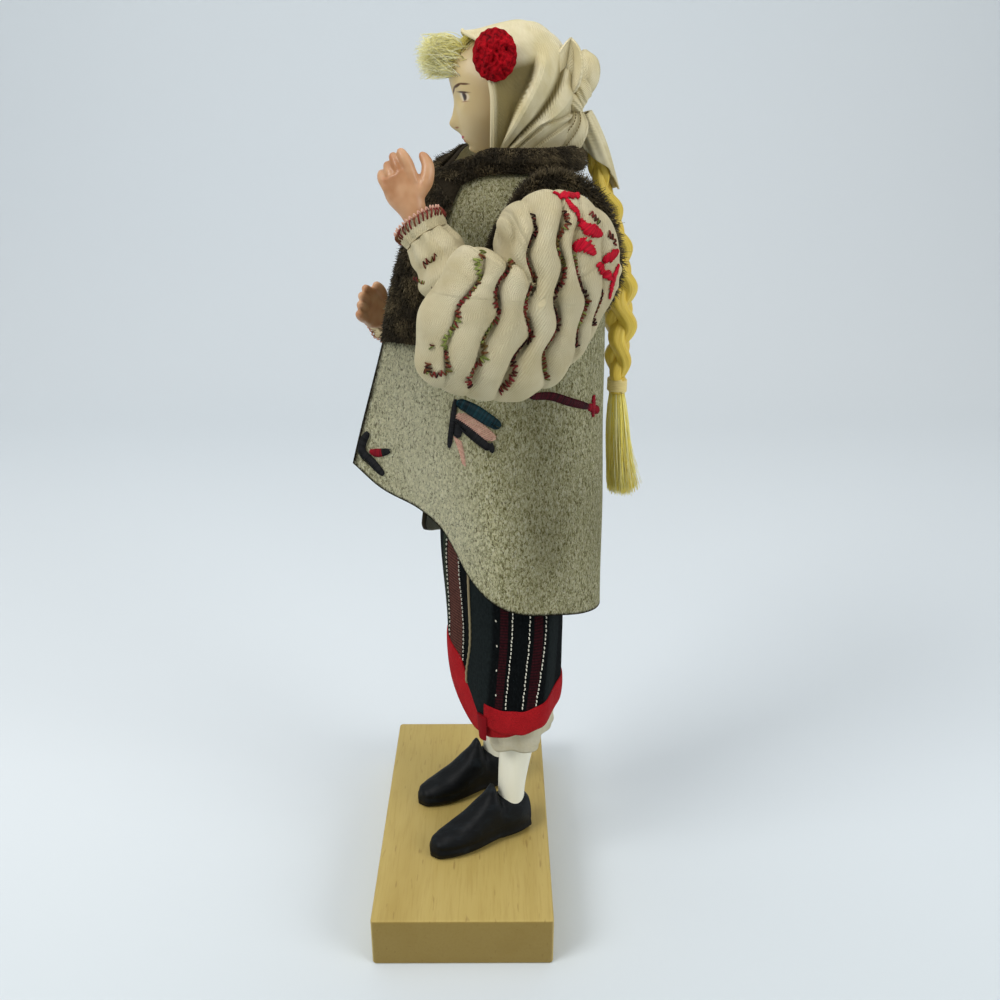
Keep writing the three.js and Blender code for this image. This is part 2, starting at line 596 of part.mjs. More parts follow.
// Fur roll on the vest round an armhole, full over the shoulder and behind, thin in front and below
function armholeFur(sign) {
  const onVest = (y, z) => {
    let [low, high] = sign > 0 ? [10, 175] : [350, 185];
    for (let i = 0; i < 40; i++) {
      const middle = (low + high) / 2;
      if (vestSkin(middle, z).y < y) low = middle;
      else high = middle;
    }
    return low;
  };
  const rings = steps(24).slice(1).map((u) => {
    const a = u * 2 * Math.PI;
    const pile = lerp(0.7, FUR_PILE / 2, smoothstep(Math.cos(a - rad(40)), -0.2, 0.6));
    const spread = ARMHOLE_RADIUS + pile + 0.6;
    const z = SHOULDER_HEIGHT + spread * Math.sin(a);
    const y = SHOULDER_BACK + spread * Math.cos(a);
    const angle = onVest(y, z);
    const seat = vestSpot(angle, z, GAP + pile);
    const out = vestSpot(angle, z, GAP + pile + 1).sub(seat);
    const radial = V(0, Math.cos(a), Math.sin(a));
    const along = radial.addScaledVector(out, -radial.dot(out)).normalize();
    return steps(8).slice(1).map((w) => seat.clone()
      .addScaledVector(out, pile * Math.sin(w * 2 * Math.PI))
      .addScaledVector(along, (pile + 0.8) * Math.cos(w * 2 * Math.PI)));
  });
  return loft(rings, true);
}

add(figure, "vest_body", vestBody(), suede);
add(figure, "collar_fur", collarFur(), fur);
add(figure, "left_armhole_fur", armholeFur(1), fur);
add(figure, "right_armhole_fur", armholeFur(-1), fur);

// Sleeves: a round plug in the armhole, a folded puff beside the body and a forearm to the cuff
const puffOutline = [
  [0, 28.5], [24, 30], [60, 30], [78, 26], [96, 20.5], [130, 20], [152, 25], [170, 28.5], [200, 28],
  [216, 32.5], [240, 29.5], [274, 26], [306, 23.5], [336, 25.5], [360, 28.5],
];
function puff(sign, centre, share) {
  const shares = [-0.985, -0.84, -0.5, 0, 0.5, 0.84, 0.985];
  const rings = shares.map((k) => {
    const size = (1 - Math.abs(k) ** 2.4) ** (1 / 2.4);
    return steps(32).slice(1).map((u) => {
      const angle = u * 360;
      const fold = 1 + 0.035 * Math.cos(rad(9 * angle)) * (1 - size ** 6) + 0.02 * Math.cos(rad(9 * angle));
      const r = share * follow(puffOutline, angle) * size * fold;
      return V(
        sign * (SLEEVE_OUT + SLEEVE_HALF * k),
        centre[0] + r * Math.cos(rad(angle)),
        centre[1] + r * Math.sin(rad(angle)),
      );
    });
  });
  return loft(rings);
}

// Unit vector along a forearm, from the sleeve to the hand
const forearmAxis = (start, wrist) => V(...wrist).sub(V(...start)).normalize();

function sleeve(sign, start, wrist, bag) {
  const plugEnd = SLEEVE_OUT - 3;
  const plugPath = curve([PLUG_START, plugEnd].map((x) => [sign * x, SHOULDER_BACK, SHOULDER_HEIGHT]));
  const plug = limb(plugPath, (t) => Array(2).fill(PLUG_RADIUS + 1.5 * t), V(0, 1, 0), [0, 0.5, 1], 24);
  const forearm = limb(
    curve([start, wrist]),
    (t) => Array(2).fill(lerp(FOREARM_RADIUS, CUFF_RADIUS - 0.7, t ** 0.7)),
    V(1, 0, 0), [0, 0.25, 0.5, 0.75, 1], 20,
  );
  const bore = rod(
    alongForearm(start, wrist, -6 - GAP), alongForearm(start, wrist, 1), WRIST_WIRE_RADIUS + GAP, 10,
  );
  const wireHole = rod([0, SHOULDER_BACK, SHOULDER_HEIGHT],
    [sign * (SHOULDER_WIRE_REACH + GAP), SHOULDER_BACK, SHOULDER_HEIGHT], SHOULDER_WIRE_RADIUS + GAP);
  return cut(join(plug, bag, forearm), wireHole, bore);
}

// Cuffs: a drawn-in ring round the wrist
function cuff(start, wrist) {
  const axis = forearmAxis(start, wrist);
  const side = V(1, 0, 0).addScaledVector(axis, -axis.x).normalize();
  const other = V(0, 0, 0).crossVectors(axis, side);
  const section = [
    [GAP, CUFF_RADIUS], [CUFF_LENGTH, CUFF_RADIUS + 0.7], [CUFF_LENGTH, WRIST_RADIUS + GAP],
    [GAP, WRIST_RADIUS + GAP],
  ];
  const rings = section.map(([along, radius]) =>
    steps(24).slice(1).map((u) => V(...wrist)
      .addScaledVector(axis, along)
      .addScaledVector(side, radius * Math.cos(u * 2 * Math.PI))
      .addScaledVector(other, radius * Math.sin(u * 2 * Math.PI))));
  return loft(rings, true);
}

// Hands, made with the wrist at the origin, fingers up +Z and thumb towards +X;
// fingers bend to the palm, +Y on the left hand and -Y on the right
function hand(fingerBend, thumbPoints) {
  const round = (tip) => (t) => {
    const r = lerp(1.75, tip, t) * Math.sqrt(Math.max(0.12, 1 - Math.max(0, (t - 0.8) / 0.2) ** 2));
    return [r, r];
  };
  const palm = limb(
    curve([[0, 0, GAP], [0, 0, 5], [-0.2, 0.2, 10], [-0.3, 0, 14]]),
    (t) => [follow([[0, WRIST_RADIUS - GAP], [0.3, 3.6], [0.65, 5.2], [1, 4.6]], t),
      follow([[0, WRIST_RADIUS - GAP], [0.3, 2.9], [0.65, 2.6], [1, 1.9]], t)],
    V(1, 0, 0), [0, 0.2, 0.45, 0.7, 0.9, 1], 14,
  );
  const fingers = [-1.5, -0.5, 0.5, 1.5].map((k) => {
    const [bendX, bendY, rise] = fingerBend(k);
    const reach = rise * (HAND_LENGTH - 12 - 0.9 * Math.abs(k - 0.4));
    const root = V(2.45 * k, 0, 12);
    return limb(
      curve([
        root.toArray(),
        [root.x * 1.05 + 0.2 * bendX, 0.25 * bendY, 12 + 0.5 * reach],
        [root.x * 1.05 + bendX, bendY, 12 + reach],
      ]),
      round(1.3), V(1, 0, 0), [0, 0.45, 0.85, 1], 7,
    );
  });
  const thumb = limb(curve(thumbPoints), round(1.5), V(0, 1, 0), [0, 0.3, 0.6, 0.87, 1], 7);
  return join(palm, ...fingers, thumb);
}

// Places a hand at a wrist: along the fingers' direction, thumb towards a side
function placeHand(geometry, wrist, axis, thumb) {
  const up = axis.clone().normalize();
  const side = thumb.clone().addScaledVector(up, -thumb.dot(up)).normalize();
  const back = V(0, 0, 0).crossVectors(up, side);
  const matrix = new THREE.Matrix4().makeBasis(side, back, up).setPosition(...wrist);
  return geometry.applyMatrix4(matrix);
}

const alongForearm = (start, wrist, distance) =>
  V(...wrist).addScaledVector(forearmAxis(start, wrist), distance).toArray();
const handBore = (start, wrist) =>
  rod(alongForearm(start, wrist, -1), alongForearm(start, wrist, 5 + GAP), WRIST_WIRE_RADIUS + GAP, 10);
const wristWire = (start, wrist) =>
  rod(alongForearm(start, wrist, -6), alongForearm(start, wrist, 5), WRIST_WIRE_RADIUS, 10);

const leftThumb = [[2.2, 0, 6], [6.2, 1, 9], [8, 2.2, 12.5], [7.4, 3, 16]];
const rightThumb = [[2.2, 0, 6], [5, -1, 9], [6.2, -1.6, 12.5], [6.4, -1.8, 15.5]];
const leftHand = hand((k) => [-0.8, 1 + 1.1 * (1.5 - k), 1 - 0.13 * (1.5 - k)], leftThumb);
const rightHand = hand(() => [0, -1.2, 1], rightThumb);

for (const [side, sign, start, wrist, way, shape, thumb, bag] of [
  [
    "left", 1, LEFT_FOREARM_START, LEFT_WRIST, LEFT_HAND_WAY, leftHand, V(0.5, 0.85, 0.1),
    puff(1, LEFT_PUFF, 1),
  ],
  ["right", -1, RIGHT_FOREARM_START, RIGHT_WRIST, RIGHT_HAND_WAY, rightHand, V(-0.2, 0.3, 1),
    puff(-1, RIGHT_PUFF, RIGHT_PUFF_SHARE)],
]) {
  const along = (distance) => alongForearm(start, wrist, distance);
  const stub = rod(along(GAP), along(CUFF_LENGTH + 1), WRIST_RADIUS);
  const placed = join(stub, placeHand(shape, along(CUFF_LENGTH), V(...way), thumb));
  add(figure, `${side}_sleeve`, sleeve(sign, start, wrist, bag), cotton);
  add(figure, `${side}_cuff`, cuff(start, wrist), cotton);
  add(figure, `${side}_wrist_wire`, wristWire(start, wrist), steel);
  add(figure, `${side}_hand`, cut(placed, handBore(start, wrist)), flesh);
}

// Head: an egg with brow, sockets, nose, lips and chin, on a round neck
const bump = (x, middle, spread) => Math.exp(-(((x - middle) / spread) ** 2));
function headSpot(angle, lift, out) {
  const [c, s] = [Math.cos(rad(lift)), Math.sin(rad(lift))];
  const a = angle > 180 ? angle - 360 : angle;
  const jaw = 1 - 0.24 * smoothstep(-s, 0.2, 0.95);
  const front = smoothstep(Math.cos(rad(a)), 0, 0.7);
  const x = (HEAD_HALF[0] * jaw + out) * c * Math.sin(rad(a));
  const depth = lerp(c, c ** (s < 0 ? 0.55 : 0.3), front);
  const half = Math.cos(rad(a)) < 0 ? HEAD_BACK : HEAD_HALF[1];
  let y = -(half + out) * depth * Math.cos(rad(a));
  y -= 2.6 * bump(a, 0, 40) * bump(lift, 28, 24);
  y -= 2.6 * bump(a, 0, 8) * bump(lift, -27, 8);
  y -= 0.8 * bump(a, 0, 14) * bump(lift, -44, 5);
  y -= 1.2 * bump(a, 0, 24) * bump(lift, -62, 9);
  y += 1.1 * bump(Math.abs(a), 22, 10) * bump(lift, -1, 7);
  const z = (HEAD_HALF[2] + out) * s;
  return V(HEAD_CENTRE[0] + x, HEAD_CENTRE[1] + y, HEAD_CENTRE[2] + z);
}

function headShell(out, around, rows) {
  const lifts = steps(rows).map((v) => lerp(-86, 86, v));
  return loft(lifts.map((lift) => steps(around).slice(1).map((u) => headSpot(u * 360, lift, out))));
}

function headWithNeck() {
  const skull = headShell(0, 30, 15);
  const neck = limb(
    curve([[0, 0, NECK_HEIGHT + GAP], [0, 0, NECK_HEIGHT + 6], [0, 1.5, NECK_HEIGHT + 19]]),
    (t) => [NECK_RADIUS + 1.2 * (1 - t) ** 3, NECK_RADIUS + 1.2 * (1 - t) ** 3],
    V(1, 0, 0), [0, 0.15, 0.4, 0.7, 1], 20,
  );
  const peg = rod([0, 0, NECK_HEIGHT - 1], [0, 0, NECK_PEG_TOP + GAP], NECK_PEG_RADIUS + GAP, 18);
  return cut(join(skull, neck), peg);
}

// Wig cap over the back of the skull, under the kerchief
function hairCap() {
  const spot = (out) => (u, v) => headSpot(lerp(55, 305, u), lerp(-30, 80, v), 2 * GAP + out);
  return sheet(spot(HAIR_WALL), spot(0), steps(16), steps(6));
}

// Kerchief: arches from its front edge back to the gathered end at the knot
const scarfHalf = HEAD_HALF[0] + HAIR_WALL + 2 * GAP + 2;
const scarfRise = HEAD_HALF[2] + HAIR_WALL + 2 * GAP + 1;
const scarfBack = HEAD_CENTRE[1] + HEAD_BACK + HAIR_WALL + 2 * GAP + 2;
const KNOT_HEIGHT = HEAD_CENTRE[2] - 3;
function scarfSpot(u, v, out) {
  const swing = v * Math.PI / 2;
  const spread = 132 + 16 * smoothstep(v, 0.1, 0.5) - 30 * smoothstep(v, 0.6, 1);
  const angle = rad(lerp(spread, -spread, u));
  const up = Math.cos(angle);
  const front = lerp(-5, -9.5, smoothstep(up, -0.1, 1));
  const size = Math.max(Math.cos(swing) ** 0.5, 0.14) * lerp(0.95, 1, smoothstep(v, 0, 0.35));
  const pleat = 0.5 * Math.cos(9 * angle) * smoothstep(v, 0.2, 0.8) * (1 - v ** 4);
  return V(
    (scarfHalf + out + pleat) * size * Math.sin(angle),
    lerp(front, scarfBack, Math.sin(swing)) + out * Math.sin(swing),
    lerp(HEAD_CENTRE[2] + 0.6, KNOT_HEIGHT, v * v) + (scarfRise + out + pleat) * size * up,
  );
}
const headscarf = () => sheet(
  (u, v) => scarfSpot(u, v, SCARF_WALL),
  (u, v) => scarfSpot(u, v, 0),
  steps(26), [0, 0.14, 0.32, 0.52, 0.7, 0.84, 0.94, 1],
);

// Knot with two ears that stand up behind the head
function scarfKnot() {
  const y = scarfBack + SCARF_WALL + 2 * GAP;
  const knot = limb(curve([[0, y, KNOT_HEIGHT], [0, y + 5, KNOT_HEIGHT]]), (t) => {
    const r = 2 + 2.2 * Math.sin(Math.PI * lerp(0.12, 0.88, t));
    return [r, r];
  }, V(1, 0, 0), steps(4), 10);
  const ear = (points, wide) => limb(curve(points), (t) => {
    const swell = Math.sin(Math.PI * lerp(0.16, 0.97, t)) ** 0.7;
    return [wide * swell, 1.7 * swell];
  }, V(0.5, 1, 0), steps(6), 8);
  const z = KNOT_HEIGHT;
  const left = ear([[0.8, y + 3, z + 2], [4.2, y + 3.2, z + 9], [6.4, y + 1, z + 18.5]], 4.6);
  const right = ear([[-0.6, y + 3.4, z + 2], [-2, y + 4.2, z + 9], [-3, y + 3.4, z + 16.5]], 4.4);
  return join(knot, left, right);
}

// Rosette: a ring of crinkled petals round a small middle, lying on the kerchief
function rosette() {
  const petals = 9;
  const ring = (share, depth) => steps(petals * 3).slice(1).map((u) => {
    const wave = 1 + 0.12 * Math.cos(petals * u * 2 * Math.PI) * share;
    const r = FLOWER_RADIUS * share * wave;
    return V(depth, r * Math.cos(u * 2 * Math.PI), 1.12 * r * Math.sin(u * 2 * Math.PI));
  });
  return loft([ring(0.35, 0), ring(0.9, 0.6), ring(1, 1.6), ring(0.62, 1.9), ring(0.45, 3.2), ring(0.12, 3)]);
}

function fringe() {
  const top = HEAD_CENTRE[2] + HEAD_HALF[2];
  const path = curve([
    [0, -13.4, top + 0.8], [-0.8, -18.6, top - 2.2], [-1.6, -22.4, top - 5.6], [-2, -24.6, top - 9.6],
  ]);
  return limb(path, (t) => {
    const r = follow([[0, 0.9], [0.4, 1], [0.8, 0.75], [1, 0.25]], t);
    return [7 * r, 2.6 * r];
  }, V(1, 0, 0), steps(7), 14);
}

add(headGroup, "head", headWithNeck(), ivoryFace);
add(headGroup, "hair_cap", hairCap(), hair);
add(headGroup, "hair_fringe", fringe(), hair);
add(headGroup, "headscarf", headscarf(), cotton);
add(headGroup, "scarf_knot", scarfKnot(), cotton);
const flowerSeat = scarfHalf + SCARF_WALL - 1.3;
const flowerSpot = [flowerSeat, -4.6, HEAD_CENTRE[2] + 10.5];
add(headGroup, "flower", rosette().rotateZ(rad(-10)).translate(...flowerSpot), crimson);

// Plait: bulges that swing from side to side, then a wrap and a loose end
const braidFoot = TIE_HEIGHT + TIE_LENGTH / 2 + GAP;
const braidHeight = (share) => lerp(braidFoot, NECK_HEIGHT - 15, share);
const braidPath = curve([
  [...BRAID_TOP], [5.8, 24.8, NECK_HEIGHT + 7], [4.4, 28.6, NECK_HEIGHT - 3], [2.9, 33.4, braidHeight(1)],
  [2.2, 36.8, braidHeight(0.715)], [2, 38, braidHeight(0.39)], [1.7, 38, braidHeight(0.146)],
  [1.6, 38, braidFoot],
]);
const braidSizes = [
  [0, 2], [0.1, 2.5], [0.22, 3.7], [0.5, BRAID_RADIUS - 0.2], [0.85, BRAID_RADIUS], [1, 3.4],
];
function plait() {
  const bulges = 8;
  const rows = steps(26);
  const rings = rows.map((t) => {
    const along = braidPath.getTangentAt(t);
    const across = V(1, 0, 0).addScaledVector(along, -along.x).normalize();
    const other = V(0, 0, 0).crossVectors(along, across);
    const size = follow(braidSizes, t);
    const sway = 0.9 * Math.sin(bulges * Math.PI * t);
    const centre = braidPath.getPointAt(t).addScaledVector(across, sway);
    const r = size * (0.9 + 0.1 * Math.abs(Math.sin(bulges * Math.PI * t)));
    return steps(10).slice(1).map((u) => centre.clone()
      .addScaledVector(across, r * Math.cos(u * 2 * Math.PI))
      .addScaledVector(other, 0.86 * r * Math.sin(u * 2 * Math.PI)));
  });
  return loft(rings);
}
const tieLow = [1.6, 38, TIE_HEIGHT - TIE_LENGTH / 2];
const tieTop = [1.6, 38, TIE_HEIGHT + TIE_LENGTH / 2];
const tassel = () => limb(
  curve([[1.6, 38, TIE_HEIGHT - TIE_LENGTH / 2 - GAP], [1.8, 38.4, 148], [2.2, 39.4, TASSEL_END]]),
  (t) => {
    const r = follow([[0, 3.2], [0.25, 4.4], [0.7, 4.8], [1, 3.4]], t);
    return [r, 0.8 * r];
  }, V(1, 0, 0), steps(8), 14,
);

// The kerchief's corner lies over the top of the plait
function scarfTail() {
  const spot = (out) => (u, v) => {
    const t = lerp(0.02, 0.17, v);
    const centre = braidPath.getPointAt(t);
    const angle = rad(lerp(75, -75, u));
    const r = lerp(2.4, 3.6, v) + GAP + out + 0.3 * Math.cos(4 * angle);
    return centre.add(V((1.5 + 0.5 * v) * r * Math.sin(angle), r * Math.cos(angle), 0));
  };
  return sheet(spot(SCARF_WALL), spot(0), steps(10), steps(5));
}

add(figure, "braid", plait(), hair);
add(figure, "braid_tie", rod(tieLow, tieTop, 3.5), cotton);
add(figure, "braid_tassel", tassel(), hair);
add(figure, "scarf_tail", scarfTail(), cotton);

export default doll;
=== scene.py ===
import bmesh
import bpy
import numpy as np
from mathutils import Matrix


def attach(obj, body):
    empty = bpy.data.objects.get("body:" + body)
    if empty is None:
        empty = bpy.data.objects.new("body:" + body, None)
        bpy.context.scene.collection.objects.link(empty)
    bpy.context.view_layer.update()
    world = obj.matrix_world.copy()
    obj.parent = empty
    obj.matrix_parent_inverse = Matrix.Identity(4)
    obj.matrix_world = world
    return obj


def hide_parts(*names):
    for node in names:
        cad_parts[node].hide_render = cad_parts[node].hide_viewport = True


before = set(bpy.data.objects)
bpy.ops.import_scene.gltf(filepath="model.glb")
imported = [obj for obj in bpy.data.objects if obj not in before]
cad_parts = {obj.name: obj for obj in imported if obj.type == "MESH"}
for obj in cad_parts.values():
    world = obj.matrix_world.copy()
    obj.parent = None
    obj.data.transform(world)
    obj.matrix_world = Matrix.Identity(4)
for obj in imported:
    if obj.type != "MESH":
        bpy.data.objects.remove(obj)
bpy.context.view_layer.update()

# Studio: a pale sweep of paper, a large soft lamp overhead, a smaller one high before the doll, a weak one
# behind it, and the camera at the doll's left side, a little above its head, as in the photograph.
scene = bpy.context.scene
scene.view_settings.view_transform = "Standard"


def ink(red, green, blue):
    """A colour as seen on a screen, 0 to 255, turned to linear light by the inverse of the sRGB curve."""
    seen = np.array([red, green, blue]) / 255
    return tuple(float(x) for x in np.where(seen <= 0.04045, seen / 12.92, ((seen + 0.055) / 1.055) ** 2.4))


def node(tree, kind, values=(), **settings):
    """Adds a shader node; a value that is another node's socket is linked, any other is set."""
    made = tree.nodes.new("ShaderNode" + kind)
    for key, value in settings.items():
        setattr(made, key, value)
    for key, value in dict(values).items():
        if isinstance(value, bpy.types.NodeSocket):
            tree.links.new(value, made.inputs[key])
        else:
            made.inputs[key].default_value = value
    return made


def coords(tree, kind="Object"):
    """Where a point lies, on the object or, with UV, on the flat cloth."""
    return node(tree, "TexCoord").outputs[kind]


def ranged(tree, value, low, high, start=0.0, end=1.0):
    """A value between low and high brought to between start and end."""
    names = "Value", "From Min", "From Max", "To Min", "To Max"
    return node(tree, "MapRange", zip(names, (value, low, high, start, end))).outputs[0]


def part(tree, vector, axis):
    """One of a vector's three parts."""
    return node(tree, "SeparateXYZ", {"Vector": vector}).outputs[axis]


def mixed(tree, share, first, second):
    """Two colours, as numbers or from other nodes, mixed by a share."""
    value = lambda colour: colour if isinstance(colour, bpy.types.NodeSocket) else (*ink(*colour), 1)
    return node(tree, "Mix", {0: share, 6: value(first), 7: value(second)}, data_type="RGBA").outputs[2]


def paint(tree, shader, tone):
    """Links a colour to the shader."""
    tree.links.new(tone, shader.inputs["Base Color"])


def finish(name, rough, colour=None, gloss=0.15, **sockets):
    """A new material, its tree and its shader, with the values that hold all over set on the shader; gloss is
    how strongly it mirrors, low for cloth and hair."""
    material = bpy.data.materials.new(name)
    material.use_nodes = True
    shader = material.node_tree.nodes["Principled BSDF"]
    shader.inputs["Roughness"].default_value = rough
    shader.inputs["Specular IOR Level"].default_value = gloss
    if colour:
        shader.inputs["Base Color"].default_value = (*ink(*colour), 1)
    for key, value in sockets.items():
        shader.inputs[key.replace("_", " ")].default_value = value
    return material, material.node_tree, shader


def joined(*parts):
    """Points from their coordinates, each a number for all of them or an array."""
    return np.stack(np.broadcast_arrays(*parts), -1)


def solid(name, points, faces):
    """A smooth mesh of points and faces, as an object in the scene."""
    mesh = bpy.data.meshes.new(name)
    mesh.from_pydata(points.tolist(), [], faces)
    mesh.polygons.foreach_set("use_smooth", np.ones(len(mesh.polygons), bool))
    piece = bpy.data.objects.new(name, mesh)
    scene.collection.objects.link(piece)
    return piece


def skin(name, grid, ring=False, ends=(), uv=None):
    """A smooth surface through a grid of points, rows by columns, in metres: a face between each four
    neighbours, the last column joined to the first on a ring, a fan over each end row named, and the
    whole turned to face away from its middle. uv gives each point's place on the flat cloth."""
    rows, cols = grid.shape[:2]
    i, j = np.meshgrid(np.arange(rows - 1), np.arange(cols if ring else cols - 1), indexing="ij")
    right = (j + 1) % cols
    quads = joined(i * cols + j, i * cols + right, (i + 1) * cols + right, (i + 1) * cols + j)
    quads = quads.reshape(-1, 4)
    points = grid.reshape(-1, 3)
    corners = points[quads]
    facing = np.cross(corners[:, 2] - corners[:, 0], corners[:, 3] - corners[:, 1])
    inward = np.sum(facing * (corners.mean(1) - points.mean(0))) < 0
    fans = np.zeros((0, 3), int)
    for end in ends:
        row = (end % rows) * cols + np.arange(cols)
        fan = joined(np.full(cols, len(points)), row, np.roll(row, -1))
        points = np.vstack([points, grid[end].mean(0)])
        fans = np.vstack([fans, fan if end else fan[:, ::-1]])
    if inward:
        quads, fans = quads[:, ::-1], fans[:, ::-1]
    piece = solid(name, points, quads.tolist() + fans.tolist())
    if uv is not None:
        flat = np.stack([uv[i, j], uv[i, j + 1], uv[i + 1, j + 1], uv[i + 1, j]], -2).reshape(-1, 4, 2)
        flat = (flat[:, ::-1] if inward else flat).ravel()
        flat = np.concatenate([flat, np.zeros(6 * len(fans))])
        piece.data.uv_layers.new(name="cloth").data.foreach_set("uv", flat)
    return piece


PAPER_GAP, BEND_START, BEND_RADIUS = 0.00005, -0.55, 0.45
reach, bend = np.linspace(-1.6, 1.6, 60), np.linspace(0, np.pi / 2, 30)[1:]
fall = np.concatenate([np.linspace(1.5, BEND_START, 40), BEND_START - BEND_RADIUS * np.sin(bend),
                       np.full(12, -1.0)])
rise = np.concatenate([np.zeros(40), BEND_RADIUS * (1 - np.cos(bend)), np.linspace(0.5, 1.6, 12)])
sweep = skin("paper_sweep", joined(fall[:, None], reach, rise[:, None] - PAPER_GAP))
paper, tree, shader = finish("pale_paper", 0.9)
where = coords(tree)
cloud = node(tree, "TexNoise", {"Vector": where, "Scale": 1.4, "Detail": 1.0}).outputs["Fac"]
tone = mixed(tree, cloud, (220, 228, 233), (227, 232, 234))
# Painted shade: the paper darkens toward the camera.
near = ranged(tree, part(tree, where, "X"), -0.05, 0.2)
paint(tree, shader, mixed(tree, near, tone, (203, 211, 214)))
sweep.data.materials.append(paper)

world = bpy.data.worlds.new("studio")
world.use_nodes = True
world.node_tree.nodes["Background"].inputs["Color"].default_value = (*ink(238, 241, 244), 1)
world.node_tree.nodes["Background"].inputs["Strength"].default_value = 0.3
scene.world = world


def lamp(name, place, target, size, power):
    """A square soft lamp that faces its target."""
    light = bpy.data.lights.new(name, "AREA")
    light.size, light.energy = size, power
    holder = bpy.data.objects.new(name, light)
    holder.location = place
    aim = np.array(target) - np.array(place)
    holder.rotation_euler = (np.arctan2(np.hypot(aim[0], aim[1]), -aim[2]), 0, np.arctan2(-aim[0], aim[1]))
    scene.collection.objects.link(holder)


lamp("key_lamp", (0.5, -0.75, 0.85), (0, 0, 0.15), 0.5, 6.6)
lamp("fill_lamp", (0.55, 0.85, 0.6), (0, 0, 0.15), 0.6, 5.0)
lamp("top_lamp", (0.05, -0.1, 1.25), (0, 0, 0.1), 1.3, 6.8)

CAMERA, LOOK_DOWN, LOOK_ASIDE = (0.3076, 0.0113, 0.2655), 21.66, 0.0041
lens = bpy.data.cameras.new("camera")
lens.lens, lens.sensor_width, lens.clip_start = 36, 36, 0.01
camera = bpy.data.objects.new("camera", lens)
camera.location = CAMERA
camera.rotation_euler = (np.radians(90 - LOOK_DOWN), 0, np.radians(90) - LOOK_ASIDE)
scene.collection.objects.link(camera)
scene.camera = camera

# Plinth: a plain block of pale close-grained wood, planed, with its edges eased and a thin lacquer.
# The leg pins go down into two holes in its top.
BASE = 112, 60, 18
BASE_EDGE, BASE_CORNER = 0.7, 1.4


def slab(length, depth, height, edge, corner):
    """A block with rounded corners and eased edges: its rounded outline, drawn in by an inset, is carried
    through a profile of insets and heights with a quarter circle at each edge."""
    turn = np.linspace(0, np.pi / 2, 9)
    inset = np.concatenate([[12, 2.2], edge * (1 - np.sin(turn)), edge * (1 - np.cos(turn)), [2.2, 12]])
    level = np.concatenate([[0, 0], edge * (1 - np.cos(turn)), height - edge * (1 - np.sin(turn)),
                            [height, height]])
    angle = np.concatenate([np.linspace(q, q + np.pi / 2, 12) for q in np.arange(4) * np.pi / 2])
    quarter = np.repeat(np.array([[1, 1], [-1, 1], [-1, -1], [1, -1]]), 12, 0)
    radius = np.maximum(corner - inset, 0.05)[:, None]
    x = quarter[:, 0] * (length / 2 - inset[:, None] - radius) + radius * np.cos(angle)
    y = quarter[:, 1] * (depth / 2 - inset[:, None] - radius) + radius * np.sin(angle)
    return joined(x, y, level[:, None]) / 1000


def fit(piece, material, body, slot, *nodes):
    """Gives a piece its material, lets it ride on its body and hides the solids it stands for."""
    piece.data.materials.append(material)
    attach(piece, body)
    if nodes:
        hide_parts(*nodes)


def dress(material, *names):
    """Gives a material to solids that show as they are."""
    for name in names:
        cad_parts[name].data.materials.clear()
        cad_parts[name].data.materials.append(material)


def ramp(tree, source, stops):
    """A ramp of linear colours at places from 0 to 1 along a value."""
    made = node(tree, "ValToRGB", {"Fac": source})
    for _ in stops[2:]:
        made.color_ramp.elements.new(1)
    for element, (place, colour) in zip(made.color_ramp.elements, stops):
        element.position, element.color = place, (*colour, 1)
    return made.outputs["Color"]


def band(tree, source, *stops):
    """A ramp of colours as seen on a screen."""
    return ramp(tree, source, [(place, ink(*colour)) for place, colour in stops])


def veil(tree, source, *stops):
    """A ramp of shares from 0 to 1."""
    return ramp(tree, source, [(place, (share,) * 3) for place, share in stops])


def reckon(tree, operation, *values):
    """Arithmetic on one or two values."""
    return node(tree, "Math", enumerate(values), operation=operation.upper()).outputs[0]


def grain(tree, where, scale, stretch=(1, 1, 1), detail=2.0, rough=0.5, spread=0.0):
    """Noise with a grain of about 1 / scale metres, drawn out along the axes that stretch makes small."""
    placed = node(tree, "Mapping", {"Vector": where, "Scale": stretch})
    return node(tree, "TexNoise", {"Vector": placed.outputs[0], "Scale": scale, "Detail": detail,
                                   "Roughness": rough, "Distortion": spread}).outputs["Fac"]


def relief(tree, shader, height, depth, strength=1.0):
    """A bump of the given depth in metres on the shader's normal."""
    made = node(tree, "Bump", {"Height": height, "Distance": depth, "Strength": strength})
    tree.links.new(made.outputs[0], shader.inputs["Normal"])


wood, tree, shader = finish("plinth_wood", 0.5, gloss=0.3, Coat_Weight=0.06, Coat_Roughness=0.35)
where = coords(tree)
figure_wood = grain(tree, where, 60, (0.12, 1, 1), 4, 0.6, 0.6)
pores = grain(tree, where, 1100, (0.06, 1, 1), 3, 0.6)
fleck = grain(tree, where, 700, (0.2, 1.0, 1.0), 1, 0.4)
tone = band(tree, figure_wood, (0.3, (181, 157, 87)), (0.52, (189, 166, 97)), (0.72, (174, 149, 80)))
tone = mixed(tree, veil(tree, pores, (0.34, 0.22), (0.5, 0)), tone, (154, 125, 62))
tone = mixed(tree, veil(tree, fleck, (0.68, 0), (0.78, 0.45)), tone, (128, 97, 50))
# The faces across the grain are darker: partly the end grain's own colour, partly painted shade on the face
# turned from the lamps.
facing = reckon(tree, "absolute", part(tree, coords(tree, "Normal"), "X"))
end_grain_and_painted_shade = ranged(tree, facing, 0.5, 0.9, 0.0, 0.75)
paint(tree, shader, mixed(tree, end_grain_and_painted_shade, tone, (122, 99, 38)))
relief(tree, shader, pores, 0.00012, 0.5)
plinth = skin("plinth", slab(*BASE, BASE_EDGE, BASE_CORNER), ring=True, ends=(0, -1))
fit(plinth, wood, "stand", "wood", "base_block")
dress(wood, "neck_peg")

